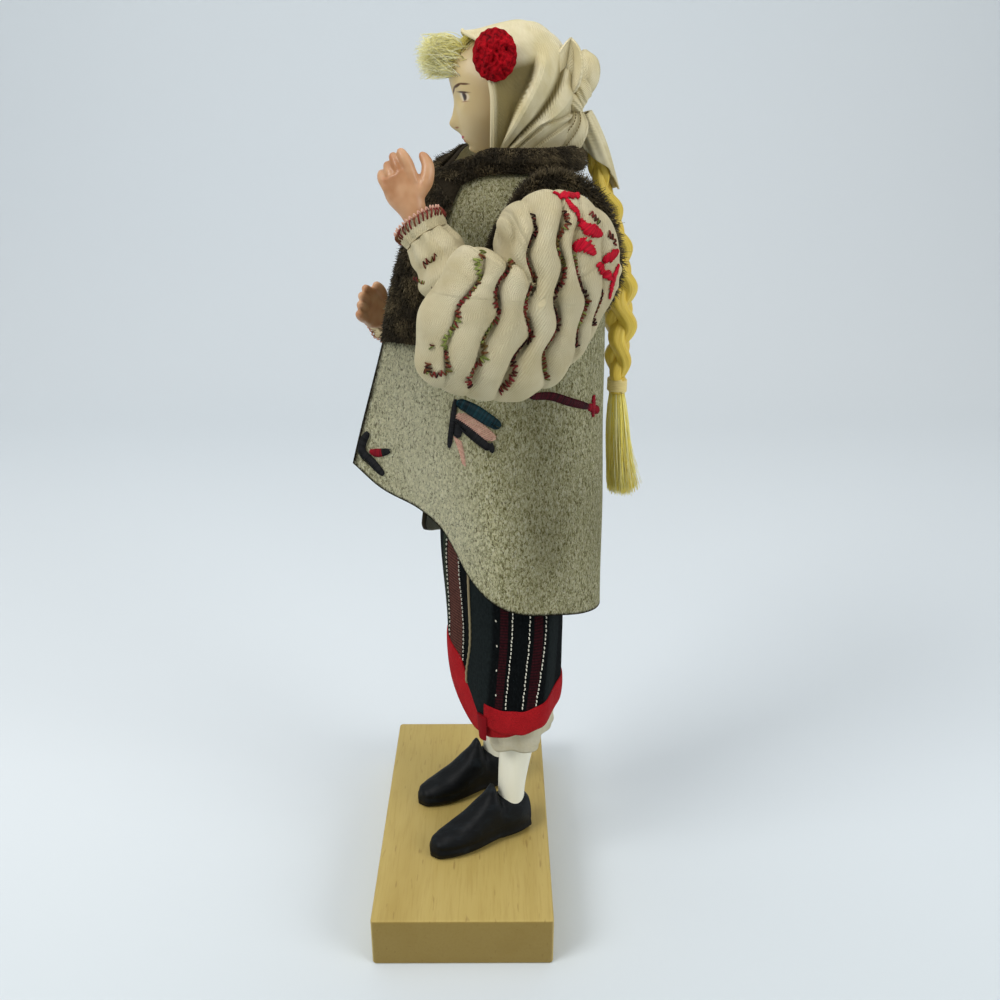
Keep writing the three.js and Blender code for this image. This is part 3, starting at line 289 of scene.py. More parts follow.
# Pins and wires: drawn steel stock with fine lines along its length, hidden in the piece. Pins hold the legs
# on the plinth, one wire through the trunk carries both arms, and short ones hold the hands in the sleeves.
wire, tree, shader = finish("drawn_wire", 0.32, (168, 168, 166), 0.5, Metallic=1.0)
relief(tree, shader, grain(tree, coords(tree), 5000, (1, 1, 0.05)), 0.00003, 0.4)
dress(wire, "left_leg_pin", "right_leg_pin", "shoulder_wire", "left_wrist_wire", "right_wrist_wire")

# Legs: turned and painted ivory with a satin coat, standing on pins in the plinth; each runs up from
# the ankle in its shoe to a socket in the trunk, the calf a little full at the back.
PLACE = np.array([-3.5, 15.2, 18.0])
BODY_TURN, HEAD_TURN = 20, -18


def turned(points, degrees):
    """Points turned about the upright axis."""
    c, s = np.cos(np.radians(degrees)), np.sin(np.radians(degrees))
    x, y, z = np.moveaxis(np.asarray(points, float), -1, 0)
    return joined(x * c - y * s, x * s + y * c, z)


def figure(points):
    """The doll's own frame in millimetres (its left, its back, up from the plinth) brought to the stand."""
    return (turned(points, BODY_TURN) + PLACE) / 1000


def once_round(count):
    """Even angles once round."""
    return np.linspace(0, 2 * np.pi, count, False)


def follow(stops, at):
    """A smooth curve through stops (place, value): a cubic Hermite with the stops' own mean slopes."""
    x, y = np.array(stops, float).T
    slope = np.diff(y) / np.diff(x)
    tangent = np.concatenate([slope[:1], (slope[1:] + slope[:-1]) / 2, slope[-1:]])
    at = np.clip(at, x[0], x[-1])
    k = np.clip(np.searchsorted(x, at, "right") - 1, 0, len(x) - 2)
    h = x[k + 1] - x[k]
    t = (at - x[k]) / h
    return (y[k] * (1 + 2 * t) * (1 - t) ** 2 + tangent[k] * h * t * (1 - t) ** 2
            + y[k + 1] * t * t * (3 - 2 * t) + tangent[k + 1] * h * t * t * (t - 1))


def ease(value, low, high):
    """0 below low, 1 above high, and a smooth step between."""
    t = np.clip((np.asarray(value, float) - low) / (high - low), 0, 1)
    return t * t * (3 - 2 * t)


ANKLES = {"left": (13.3, -3.4), "right": (-14.5, 0.6)}
HIP_SPREAD, HIP_HEIGHT, LEG_LOW = 11.5, 112, 6
LEG_RADIUS = (6, 4.7), (16, 4.7), (30, 5.6), (45, 6.9), (58, 6.9), (78, 6.0), (112, 7.7)


def leg(side):
    """Rings of the leg's radius, their middle carried from the ankle to under the hip by a smooth step."""
    z, angle = np.linspace(LEG_LOW, HIP_HEIGHT, 90)[:, None], once_round(64)
    share = ease(z, 17, 56)
    x, y = ANKLES[side]
    x = x + ((HIP_SPREAD if side == "left" else -HIP_SPREAD) - x) * share
    y = y * (1 - share) + 0.8 * ease(z, 12, 40) * (1 - ease(z, 55, 80))
    r = follow(LEG_RADIUS, z)
    return figure(joined(x + r * np.cos(angle), y + r * np.sin(angle), z))


ivory, tree, shader = finish("ivory_paint", 0.4, gloss=0.4, Coat_Weight=0.1, Coat_Roughness=0.3)
where = coords(tree)
streak = grain(tree, where, 240, (1, 1, 0.12), 3)
paint(tree, shader, mixed(tree, streak, (226, 222, 198), (242, 240, 222)))
relief(tree, shader, streak, 0.00012, 0.35)
for side in ANKLES:
    fit(skin(side + "_leg_painted", leg(side), True, (0, -1)), ivory, "stand", "ivory_paint", side + "_leg")

# Shoes: moulded shoes with a high tongue, painted black by brush over sole and all, with streaks that are
# lighter and rougher where the brush noise is high; glued to the plinth round the leg's foot.
SHOE_LENGTH, SHOE_HALF, SHOE_HEEL = 38.5, 6.5, 6.2
SHOE_TURN = {"left": 8, "right": 6}
SHOE_WIDTH = (0, -2.4), (0.12, -0.9), (0.35, -0.9), (0.68, 0), (0.9, -1.6), (0.97, -3.3), (1, -6)
SHOE_HEIGHT = ((0, 13), (0.08, 16.5), (0.24, 16.6), (0.315, 16.8), (0.34, 20.6), (0.36, 21.8), (0.43, 18.2),
               (0.52, 14.4), (0.72, 9.5), (0.9, 7), (0.97, 5.4), (1, 2.6))


def shoe(side):
    """Upright sections from heel to toe: a superellipse, flat below, its width and height following the
    last and narrowing up the tongue; a welt stands out just above the sole and the brush's dabs wave
    the top."""
    s = np.concatenate([np.linspace(0, 0.08, 10), np.linspace(0.08, 0.9, 70)[1:],
                        1 - 0.1 * np.linspace(1, 0, 22)[1:] ** 2])[:, None]
    angle = once_round(96)
    c, n = np.cos(angle), np.sin(angle)
    w, h = SHOE_HALF + follow(SHOE_WIDTH, s), follow(SHOE_HEIGHT, s)
    across = w * np.sign(c) * np.abs(c) ** 0.7
    up = np.where(n < 0, 0.32 * h * (1 - np.abs(n) ** 0.35), h * (0.32 + 0.68 * np.abs(n) ** 0.85))
    welt = 0.35 * np.exp(-((up - 2.2) / 0.8) ** 2) - 0.25 * np.exp(-((up - 4.0) / 0.8) ** 2)
    across = across + np.sign(c) * welt * ease(np.abs(c), 0.2, 0.6)
    across = across * (1 - 0.45 * ease(up, 13, 21.5))
    up = up + 0.12 * np.sin(31 * s + 3 * c) * ease(up, 5, 9)
    y = SHOE_HEEL - s * SHOE_LENGTH
    flat = turned(joined(across, y, up + 0.15), SHOE_TURN[side])
    return figure(flat + np.array([*ANKLES[side], 0]))


black, tree, shader = finish("black_paint", 0.6, gloss=0.2)
where = coords(tree)
brush = grain(tree, where, 330, (1, 0.45, 0.8), 5, 0.65, 0.5)
paint(tree, shader, band(tree, brush, (0.3, (1, 3, 4)), (0.55, (3, 6, 8)), (0.75, (22, 30, 35))))
tree.links.new(ranged(tree, brush, 0.0, 1.0, 0.35, 0.7), shader.inputs["Roughness"])
relief(tree, shader, brush, 0.0005, 0.6)
for side in ANKLES:
    fit(skin(side + "_shoe_painted", shoe(side), True, (0, -1)), black, "stand", "black_paint",
        side + "_shoe")

# Trunk and blouse body: a stuffed calico trunk, and over it the body of the blouse in the sleeves' ribbed
# cream cotton, drawn in under the belt.
CORE_SIDE = ((112, 19), (125, 20.5), (145, 17.5), (166, 14.5), (186, 20), (204, 26), (213, 27.6), (220, 26.8),
             (224, 23), (227, 16.8))
CORE_DEPTH = ((112, 13), (125, 14), (145, 12.5), (166, 11), (186, 14), (204, 14.5), (213, 14), (220, 12.5),
              (224, 11), (227, 9))


def wave(tree, where, pitch, spread, detail=2.0, way="X", **values):
    """Waves of the given pitch in metres; the texture turns 20 radians in a metre at a scale of 1."""
    values = {key.replace("_", " "): value for key, value in values.items()}
    return node(tree, "TexWave", {"Vector": where, "Scale": 2 * np.pi / pitch / 20, "Distortion": spread,
                                  "Detail": detail, **values}, bands_direction=way).outputs["Fac"]


def weave(tree, pitch, kind="UV"):
    """Warp and weft of a plain cloth as a height: two crossed waves of the given pitch in metres."""
    where = coords(tree, kind)
    return reckon(tree, "add", *(wave(tree, where, pitch, 0.8, 1.0, way) for way in "XY"))


calico, tree, shader = finish("calico", 0.9, (214, 199, 163))
relief(tree, shader, weave(tree, 0.0006, "Object"), 0.0001, 0.5)
dress(calico, "body_core")


def kept(tree, name):
    """A value that the piece keeps for each of its points."""
    return node(tree, "Attribute", attribute_name=name).outputs["Fac"]


cotton, tree, shader = finish("ribbed_cotton", 0.9)
flat = coords(tree, "UV")
slant = node(tree, "Mapping", {"Vector": flat, "Rotation": (0, 0, 0.45)}).outputs[0]
ribs = wave(tree, slant, 0.00052, 1.3, Detail_Scale=60.0)
fuzz = grain(tree, flat, 2600)
tone = band(tree, grain(tree, flat, 90, detail=3), (0.3, (209, 195, 153)), (0.7, (229, 219, 185)))
tone = mixed(tree, veil(tree, ribs, (0.05, 0.3), (0.6, 0)), tone, (178, 158, 112))
# Painted shade: the kept hollow value darkens the cotton in the hollows between the sleeves' puffs.
paint(tree, shader, mixed(tree, kept(tree, "hollow"), tone, (130, 112, 70)))
relief(tree, shader, reckon(tree, "add", ribs, fuzz), 0.0003, 0.8)


def trunk(out, low, high, rows, around):
    """Ovals whose half width and half depth follow the trunk's stops, grown by out."""
    z, angle = np.linspace(low, high, rows)[:, None], once_round(around)
    crimp = 0.35 * np.cos(26 * angle) * (1 - ease(z, low, low + 22))
    crimp = crimp + 0.2 * np.cos(17 * angle + 1) * ease(z, 214, 227)
    side, deep = follow(CORE_SIDE, z) + out + crimp, follow(CORE_DEPTH, z) + out + crimp
    return joined(side * np.sin(angle), 0.6 - deep * np.cos(angle), z)


def lengths(grid, ring=False):
    """Each point's place on the flat cloth in metres: the length along its row and down its column."""
    if ring:
        grid = np.concatenate([grid, grid[:, :1]], 1)
    along = np.cumsum(np.linalg.norm(np.diff(grid, axis=1, prepend=grid[:, :1]), axis=2), 1)
    down = np.cumsum(np.linalg.norm(np.diff(grid, axis=0, prepend=grid[:1]), axis=2), 0)
    return joined(along.mean(0), down.mean(1)[:, None])


def cloth_of(name, grid, ring=False, ends=()):
    """A surface that keeps each point's place on the flat cloth."""
    return skin(name, grid, ring, ends, lengths(grid, ring))


def backed(piece, thickness, rim=0, back=0):
    """Gives a sheet its thickness, laid to its inner side; rim and back name their materials by number."""
    shell = piece.modifiers.new("thickness", "SOLIDIFY")
    shell.thickness, shell.offset, shell.use_even_offset = thickness / 1000, -1, False
    shell.material_offset_rim, shell.material_offset = rim, back


shirt = figure(trunk(1.7, 167.8, 226.6, 60, 160))
blouse = cloth_of("blouse_cloth", shirt, True)
backed(blouse, 0.6)
fit(blouse, cotton, "stand", "cotton", "blouse_body")

# Underskirt: a tube of the same cream cotton, gathered at the waist, its hem turned up once and showing a
# finger's breadth below the wool.
SKIRT_SIDE = (36, 26.4), (46, 27.6), (75, 28.2), (112, 27.5), (140, 23.5), (166, 15.6)
SKIRT_DEPTH = (36, 15.1), (46, 16.1), (75, 17.5), (112, 18.6), (140, 16.8), (166, 12.1)
SLIP_HEM, SLIP_TOP, SLIP_FOLDS = 40.5, 106, 1.5


def hips(degrees, z, out, folds):
    """Where a cloth lies round the hips: an oval whose half width and depth follow the skirt's stops, with
    seven soft folds that grow downward and a slight lean to the front."""
    a = np.radians(degrees)
    wave = folds * (1 - ease(z, 60, 130)) * np.cos(np.radians(7 * degrees + 20)) + out
    wave = wave + 0.18 * np.sin(3 * a + 0.11 * z) * (1 - ease(z, 120, 160))
    x, y = (follow(SKIRT_SIDE, z) + wave) * np.sin(a), -(follow(SKIRT_DEPTH, z) + wave) * np.cos(a)
    belly = 1.8 * ease(z, 80, 112) * (1 - ease(z, 112, 150))
    return joined(x, y - 2 * (1 - ease(z, 110, 160)) - 0.4 * (1 - ease(z, 75, 112)) - belly, z)


around = np.linspace(0, 360, 260, False)[None]
hem = SLIP_HEM + 1.5 * np.cos(np.radians(around - 190)) + 0.35 * np.cos(np.radians(11 * around))
share = np.linspace(0, 1, 70)[:, None]
out = -2.7 - 3.2 * np.exp(-(np.minimum(around, 360 - around) / 42) ** 2)
out = out + 1.9 * np.exp(-((around - 165) / 60) ** 2) + 0.5 * np.exp(-((share - 0.045) / 0.012) ** 2)
slip = hips(around, hem + (SLIP_TOP - hem) * share, out, SLIP_FOLDS)
underskirt = cloth_of("underskirt_cloth", figure(slip), True)
backed(underskirt, 0.7)
plain_cotton, tree, shader = finish("plain_cotton", 0.9)
flat = coords(tree, "UV")
threads = weave(tree, 0.0005)
paint(tree, shader, mixed(tree, grain(tree, flat, 260, detail=4), (230, 218, 178), (246, 240, 216)))
relief(tree, shader, reckon(tree, "add", threads, grain(tree, flat, 900, detail=4)), 0.0004, 0.8)
fit(underskirt, plain_cotton, "stand", "cotton", "underskirt")

# Wrap skirt: a rectangle of fine black wool wound once and a bit round the hips, its outer edge hemmed with
# a pale thread and lapping over the front, woven with dark red stripes between rows of white yarn.
WRAP_START, WRAP_TURN, WAIST = 23, 420, 166
HEM = ((23, 63.5), (28.6, 59.3), (36.8, 54.4), (48, 51.9), (78, 50.3), (95, 52.4), (122, 53.4), (178, 55.5),
       (268, 58), (301, 63), (331, 66), (345, 63.5), (355, 59.5), (362, 55.5), (368, 51.5), (374, 48.2),
       (380, 46.2), (386, 45.4), (400, 46.5), (443, 50))
BAND_TOP = ((23, 66), (28, 63.5), (37, 61), (48, 59.7), (78, 58.7), (95, 60.8), (122, 62.5), (178, 63.5),
            (268, 66), (301, 72), (331, 75.5), (355, 74), (368, 71.5), (374, 69), (378, 65), (382, 61),
            (388, 57.5), (397, 55), (410, 55), (443, 58))
STRIPE_LEAN, BAND_START = 0.24, 44
PICK, WOOL_COVER = 0.011, 1.6
EDGE_SWING = (60, 0), (66, -1), (80, 6.5), (92, 10.5), (106, 14), (166, 18)


def wrapped(degrees, z, out=0.0):
    """The wool at its angle, wound on past a full turn, and its height: it lifts clear of itself where
    it laps."""
    lift = 1.4 * (1 - ease(degrees - WRAP_START, 60, 300))
    return hips(degrees, z, lift + out, 0.9)


def swung(turn, z):
    """The outer edge swings back as it climbs, by its stops, and draws the cloth next to it along."""
    return turn + follow(EDGE_SWING, z) * np.exp(-(turn - WRAP_START) / 24)


def stripe(degrees, z):
    """A place across the cloth, in hundredths of degrees at 100 mm up, so that a stripe keeps one value."""
    return (degrees - STRIPE_LEAN * (z - 100)) / 100


turn = WRAP_START + WRAP_TURN * np.linspace(0, 1, 560)[None]
corner = ease(turn, BAND_START - 3, BAND_START + 1)
low = follow(HEM, turn) * (1 - corner) + follow(BAND_TOP, turn) * corner
share = np.linspace(0, 1, 120)[:, None]
height = low + (WAIST - low) * share
laid = swung(turn, height)
cloth = figure(wrapped(laid, height, 0.5 * np.exp(-(turn - WRAP_START) / 4) * ease(height, 60, 90)))
skirt = skin("wrap_skirt_cloth", cloth, uv=joined(stripe(laid, height), height / 100))
backed(skirt, 0.9)

wool, tree, shader = finish("black_wool", 0.95, gloss=0.05)
across, along = (part(tree, coords(tree, "UV"), axis) for axis in "XY")
wool_hair = grain(tree, coords(tree), 1500, (1, 1, 0.5), 4, 0.65)
picks = reckon(tree, "sine", reckon(tree, "multiply", along, 2 * np.pi / PICK))
picks = ranged(tree, picks, -1.0, 1.0, 0.35, 1.0)
tone = band(tree, wool_hair, (0.3, (6, 8, 9)), (0.6, (14, 17, 18)), (0.8, (32, 36, 38)))
PLAIN, DARK_RED, BROWN, OLIVE = (31, 37, 37), (60, 17, 23), (110, 69, 59), (58, 66, 50)
STRIPES = ((0.42, 0.15, PLAIN), (1.24, 0.13, PLAIN), (0.665, 0.036, DARK_RED), (0.985, 0.048, DARK_RED),
           (1.64, 0.035, DARK_RED), (1.955, 0.048, DARK_RED), (2.64, 0.035, DARK_RED),
           (2.955, 0.048, DARK_RED), (2.2, 0.14, PLAIN), (3.2, 0.1, PLAIN), (3.58, 0.035, OLIVE),
           (3.72, 0.085, BROWN))
for middle, half, colour in STRIPES:
    off = reckon(tree, "absolute", reckon(tree, "subtract", across, middle))
    inside = ranged(tree, off, half * 0.85, half * 1.05, 0.9, 0.0)
    soft = reckon(tree, "multiply", inside, wool_hair)
    if colour is not PLAIN:
        soft = reckon(tree, "multiply", soft, picks)
    tone = mixed(tree, reckon(tree, "multiply", soft, WOOL_COVER), tone, colour)
paint(tree, shader, tone)
relief(tree, shader, wool_hair, 0.0005, 0.7)
fit(skirt, wool, "stand", "black_wool", "wrap_skirt")


def mark(piece, name, values):
    """Keeps a value for each point of a piece, for its colour."""
    values = np.asarray(values, float).ravel()
    piece.data.attributes.new(name, "FLOAT", "POINT").data.foreach_set("value", values)


def fibres(name, paths, width, taper=0.3, tint=None, sides=3):
    """Fine strands in metres: each path (strand, point, 3) carries a section of a few sides whose half width
    falls to the taper's share at its tip; tint is a value for each strand, kept for its colour."""
    count, steps = paths.shape[:2]
    way = np.gradient(paths, axis=1)
    way /= np.linalg.norm(way, axis=2, keepdims=True) + 1e-12
    side = np.cross(way, np.array([0.31, 0.52, 0.79]))
    side /= np.linalg.norm(side, axis=2, keepdims=True) + 1e-12
    other = np.cross(way, side)
    angle = np.arange(sides) * 2 * np.pi / sides
    half = np.asarray(width) * np.ones(count)
    size = half[:, None, None, None] * np.linspace(1, taper, steps)[None, :, None, None]
    spokes = np.cos(angle)[:, None] * side[:, :, None] + np.sin(angle)[:, None] * other[:, :, None]
    rings = paths[:, :, None] + size * spokes
    first = np.arange(count * steps).reshape(count, steps)[:, :-1, None] * sides
    k = np.arange(sides)[None, None]
    quads = joined(first + k, first + (k + 1) % sides, first + sides + (k + 1) % sides, first + sides + k)
    quads = quads.reshape(-1, 4)
    caps = np.concatenate([(first[:, 0] + k[0])[:, ::-1], first[:, -1] + sides + k[0]])
    piece = solid(name, rings.reshape(-1, 3), quads.tolist() + caps.tolist())
    if tint is not None:
        mark(piece, "tint", np.repeat(tint, steps * sides))
    return piece


def arched(start, end, rise, points=5):
    """Stitches from start to end, each a low arch of the given rise (a vector for each stitch)."""
    t = np.linspace(0, 1, points)[None, :, None]
    return start[:, None] + (end - start)[:, None] * t + rise[:, None] * (4 * t * (1 - t))


def yarn(name, rough, *colours):
    """Stitching yarn whose colour goes from the first to the last by each stitch's tint."""
    made, tree, shader = finish(name, rough)
    stops = ((i / (len(colours) - 1), colour) for i, colour in enumerate(colours))
    paint(tree, shader, band(tree, kept(tree, "tint"), *stops))
    return made


chance = np.random.default_rng(11)
rows_of_dots = []
for place, lean, step, stitch in ((59, 0.12, 9.4, 0.5), (74.0, 0.27, 1.5, 0.85), (89.4, 0.23, 1.5, 0.85),
                                  (107.4, 0.37, 1.5, 0.85), (170, 0.17, 2.1, 1.25), (187, 0.17, 2.1, 1.25),
                                  (203, 0.2, 2.1, 1.25), (270, 0.17, 2.1, 1.25), (287, 0.17, 2.1, 1.25),
                                  (303, 0.2, 2.1, 1.25), (363.2, 0.2, 1.7, 0.7), (381.2, 0.2, 1.6, 0.8)):
    z = np.arange(56, 140, step)
    z = z + chance.uniform(-0.12, 0.12, len(z))
    degrees = place + lean * (z - 100) + chance.normal(0, 0.14, len(z))
    keep = z > follow(BAND_TOP, degrees) + 1.2
    z, degrees = z[keep], degrees[keep]
    start, end = wrapped(degrees, z, 0.1), wrapped(degrees + chance.normal(0, 0.25, len(z)), z + stitch, 0.1)
    rows_of_dots.append(arched(start, end, wrapped(degrees, z, 0.35) - start))
dots = fibres("skirt_stitches", figure(np.concatenate(rows_of_dots)), 0.00021, 0.9, sides=5)
fit(dots, yarn("white_yarn", 0.8, (222, 218, 200), (240, 236, 222)), "stand", "tie_thread")

z = np.linspace(63.6, 160, 70)
edge = wrapped(swung(23.2, z), z, 0.5 * ease(z, 60, 90) + 0.1) + joined(0, 0.1 * np.sin(2.2 * z), 0)
binding = fibres("skirt_edge_thread", figure(edge)[None], 0.00042, 1.0, sides=6)
fit(binding, finish("pale_thread", 0.8, (148, 134, 102))[0], "stand", "tie_thread")

# Hem band: a strip of soft red woollen cloth sewn along the skirt's lower edge; at the outer corner its end
# is folded down into a small tab.
share = np.linspace(0, 1, 22)[:, None]
turn = np.linspace(BAND_START, WRAP_START + WRAP_TURN, 640)[None]
low, high = follow(HEM, turn), follow(BAND_TOP, turn)
bulge = 0.45 * np.sin(np.pi * share) ** 0.5 + 0.25
ripple = 0.25 * np.sin(0.21 * turn) * np.sin(0.083 * turn + 1)
strip = figure(wrapped(turn, low + ripple + (high - low + 0.9) * share, bulge))
trim = cloth_of("hem_band_cloth", strip)
backed(trim, 0.9)
red_cloth, tree, shader = finish("red_cloth", 0.88)
where = coords(tree)
wear_and_painted_light, lint = grain(tree, where, 160, detail=3), grain(tree, where, 2200, detail=3)
tone = mixed(tree, wear_and_painted_light, (146, 10, 20), (186, 28, 34))
tone = mixed(tree, veil(tree, lint, (0.3, 0.35), (0.55, 0)), tone, (92, 4, 12))
paint(tree, shader, tone)
relief(tree, shader, lint, 0.0007, 0.8)
fit(trim, red_cloth, "stand", "red_braid", "skirt_hem_band")
v, w = np.meshgrid(np.linspace(0, 1, 26), once_round(24), indexing="ij")
tab = wrapped(BAND_START - 2.0 + 5.2 * np.cos(w) * (1 - 0.25 * v), 56.2 - 9.4 * v, 0.9 + 0.75 * np.sin(w))
tab_piece = skin("hem_band_tab", figure(tab), True, (0, -1))
# Painted shade: the folded tab is a darker copy of the red cloth.
fit(tab_piece, finish("red_cloth_painted_shade", 0.9, (124, 8, 18))[0], "stand", "red_braid")

# Belt: a narrow woven red belt wound over the skirt's top and the blouse's lower edge, which it holds; it is
# hidden under the vest.
BELT_LOW, BELT_WIDTH, BELT_OUT = 162.3, 10.4, 2.6
WAIST_SIDE, WAIST_DEPTH = SKIRT_SIDE[-1][1], SKIRT_DEPTH[-1][1]
share = np.linspace(0, 1, 14)[:, None]
out = BELT_OUT + 0.3 * np.sin(np.pi * share)
a = np.radians(around)
belt_line = joined((WAIST_SIDE + out) * np.sin(a), -(WAIST_DEPTH + out) * np.cos(a),
                   BELT_LOW + BELT_WIDTH * share)
belt = cloth_of("waist_belt_braid", figure(belt_line), True)
backed(belt, 0.9)
fit(belt, red_cloth, "stand", "red_braid", "waist_belt")

# Vest: one hide of grey-green suede, its cut edges dyed dark, open in front with the left side swung out,
# long at the back and with big armholes; it hangs from the shoulders of the blouse.
VEST_LEFT, VEST_RIGHT, VEST_WALL, VEST_FLARE, COLLAR_TOP = 12, 331, 1.6, 24, 236
VEST_SIDE = (95, 37), (150, 35.5), (190, 34.3), (210, 33.5), (220, 31), (227, 25), (231, 20.5), (236, 20)
VEST_BACK = (88, 30.5), (150, 29.5), (190, 28.6), (208, 28), (216, 25), (224, 20), (230, 17.5), (236, 17.3)
LEFT_FRONT = (105, 30), (150, 31), (182, 29.5), (200, 29.5), (216, 27), (227, 24), (236, 20)
RIGHT_FRONT = (112, 29), (150, 23), (180, 18), (200, 20.5), (216, 23), (227, 20.5), (236, 18)
VEST_HEM = ((12, 147.5), (20, 141), (34, 134.5), (43, 127.5), (52, 114), (63, 105), (95, 99), (149, 90),
            (180, 88.5), (215, 90), (265, 98), (300, 104), (312, 106.5), (320, 109.5), (326, 114), (329, 119),
            (331, 126))
SHOULDER_BACK, SHOULDER_HEIGHT, ARMHOLE = 2.5, 206, 17.5


def vest_top(degrees):
    """The collar's upper edge, lower at the two fronts."""
    return COLLAR_TOP - 7 * (1 - ease(np.minimum(degrees, 345 - degrees), 12, 60))


def vest_radius(degrees, z):
    """An oval round the body from the side, back and front stops, with the left front swung out by a
    share that dies away along the side and grows toward the hem."""
    s, c = np.sin(np.radians(degrees)), np.cos(np.radians(degrees))
    left = degrees < 180
    front = np.where(left, follow(LEFT_FRONT, z), follow(RIGHT_FRONT, z))
    deep = np.where(c < 0, follow(VEST_BACK, z), front)
    swing = VEST_FLARE * np.clip((232 - z) / 84.5, 0, 1.25) * np.exp(-(degrees - VEST_LEFT) / 26)
    return 1 / np.hypot(s / follow(VEST_SIDE, z), c / deep) + np.where(left, swing, 0)


def unit(vectors):
    """Vectors brought to length 1."""
    return vectors / np.linalg.norm(vectors, axis=-1, keepdims=True)


def vest(degrees, z, out=0.0):
    """A place on the vest's outer skin, or a distance out from it along the skin's normal."""
    def at(a, h):
        r = vest_radius(a, h)
        return joined(r * np.sin(np.radians(a)), -r * np.cos(np.radians(a)), h)
    degrees, z = np.broadcast_arrays(np.asarray(degrees, float), np.asarray(z, float))
    across, up = at(degrees + 0.5, z) - at(degrees - 0.5, z), at(degrees, z + 0.5) - at(degrees, z - 0.5)
    normal = unit(np.cross(across, up))
    return at(degrees, z) + normal * np.asarray(out, float)[..., None]


def without(piece, unwanted):
    """Takes away the unwanted points and every face that has one."""
    mesh = piece.data
    sheet_mesh = bmesh.new()
    sheet_mesh.from_mesh(mesh)
    sheet_mesh.verts.ensure_lookup_table()
    points = [sheet_mesh.verts[k] for k in np.flatnonzero(unwanted.ravel())]
    bmesh.ops.delete(sheet_mesh, geom=points, context="VERTS")
    sheet_mesh.to_mesh(mesh)
    sheet_mesh.free()


share = (1 - (1 - np.linspace(0, 1, 170)) ** 1.3)[:, None]
turn = np.linspace(VEST_LEFT, VEST_RIGHT, 380)[None]
low = follow(VEST_HEM, turn)
height = low + (vest_top(turn) - low) * share
dents = 0.28 * np.sin(0.09 * turn + 0.05 * height) * np.sin(0.061 * height + 1.1)
hide = vest(turn, height, dents)
off = np.hypot(hide[..., 1] - SHOULDER_BACK, hide[..., 2] - SHOULDER_HEIGHT)
near = (np.abs(off - ARMHOLE) < 0.75) & (np.abs(hide[..., 0]) > 15)
shoulder = np.array([SHOULDER_BACK, SHOULDER_HEIGHT])
aim = (hide[..., 1:] - shoulder) / off[..., None]
hide[..., 1:] = np.where(near[..., None], shoulder + aim * ARMHOLE, hide[..., 1:])
vest_piece = cloth_of("vest_suede", figure(hide))
side_gap = np.minimum(turn - VEST_LEFT, VEST_RIGHT - turn) * 0.55
mark(vest_piece, "edge", np.minimum(height - low, side_gap))
# Painted light and shade on the suede: a lighter band down the swung-out left front and a darker patch at the
# side, where light and shade fall.
painted_light_band = np.exp(-((turn - 34 - 0.45 * (148 - height)) / 20) ** 2) * (1 - ease(height, 172, 205))
painted_shade_band = np.exp(-((turn - 82) / 19) ** 2) * (1 - ease(height, 185, 215))
mark(vest_piece, "wear_and_painted_light", np.clip((painted_light_band - painted_shade_band) * ease(height, 96, 130), -1, 1))
without(vest_piece, (off < ARMHOLE - 0.8) & (np.abs(hide[..., 0]) > 15))
backed(vest_piece, VEST_WALL, rim=1, back=2)

suede, tree, shader = finish("suede", 0.95, gloss=0.1)
where = coords(tree)
nap = grain(tree, where, 1350, (1, 1, 0.5), 4, 0.6, 1.2)
pits = grain(tree, where, 2100, (1, 1, 0.55), 3, 0.6, 0.9)
patches = grain(tree, where, 30, (1, 1, 0.6), 3)
tone = band(tree, nap, (0.34, (118, 112, 67)), (0.44, (187, 181, 133)), (0.54, (228, 223, 178)),
            (0.68, (251, 247, 214)))
tone = mixed(tree, veil(tree, patches, (0.36, 0.3), (0.6, 0)), tone, (122, 117, 80))
# Painted light and shade: the kept value lightens the suede at the front and darkens it at the side.
wear_and_painted_light = kept(tree, "wear_and_painted_light")
tone = mixed(tree, ranged(tree, wear_and_painted_light, 0.0, 1.0, 0.0, 0.55), tone, (238, 234, 202))
tone = mixed(tree, ranged(tree, wear_and_painted_light, 0.0, -1.0, 0.0, 0.48), tone, (80, 77, 48))
tone = mixed(tree, veil(tree, pits, (0.36, 0.72), (0.45, 0)), tone, (78, 72, 40))
margin = reckon(tree, "add", kept(tree, "edge"), nap)
dyed = ranged(tree, margin, 0.7, 1.5, 1.0, 0.0)
paint(tree, shader, mixed(tree, dyed, tone, (40, 34, 24)))
relief(tree, shader, reckon(tree, "add", nap, pits), 0.0022)
cut_edge, tree, shader = finish("suede_cut_edge", 0.9, (44, 37, 25))
relief(tree, shader, grain(tree, coords(tree), 900), 0.0006, 0.6)
fit(vest_piece, suede, "stand", "suede", "vest_body")
flesh_side, tree, shader = finish("suede_flesh_side", 0.95)
inner_nap = grain(tree, coords(tree), 1100, (1, 1, 1), 4, 0.6, 0.8)
paint(tree, shader, mixed(tree, inner_nap, (150, 148, 122), (218, 218, 196)))
relief(tree, shader, inner_nap, 0.0006, 0.7)
for extra in (cut_edge, flesh_side):
    vest_piece.data.materials.append(extra)

# Fur: strips of dark olive-brown lambskin sewn with the pile out, down both front edges and round the
# collar, and round each armhole, fuller over the shoulder and behind.
FUR_PILE, FUR_SEAT, LAPEL = 4.2, 1.2, 0.28
LAPEL_WIDTH, LAPEL_LOW, COLLAR_WIDTH = (13, 7), (183, 199), 7.5


def shares(rows, cols):
    """A grid of shares from 0 to 1 along rows and columns."""
    return np.meshgrid(np.linspace(0, 1, rows), np.linspace(0, 1, cols), indexing="ij")


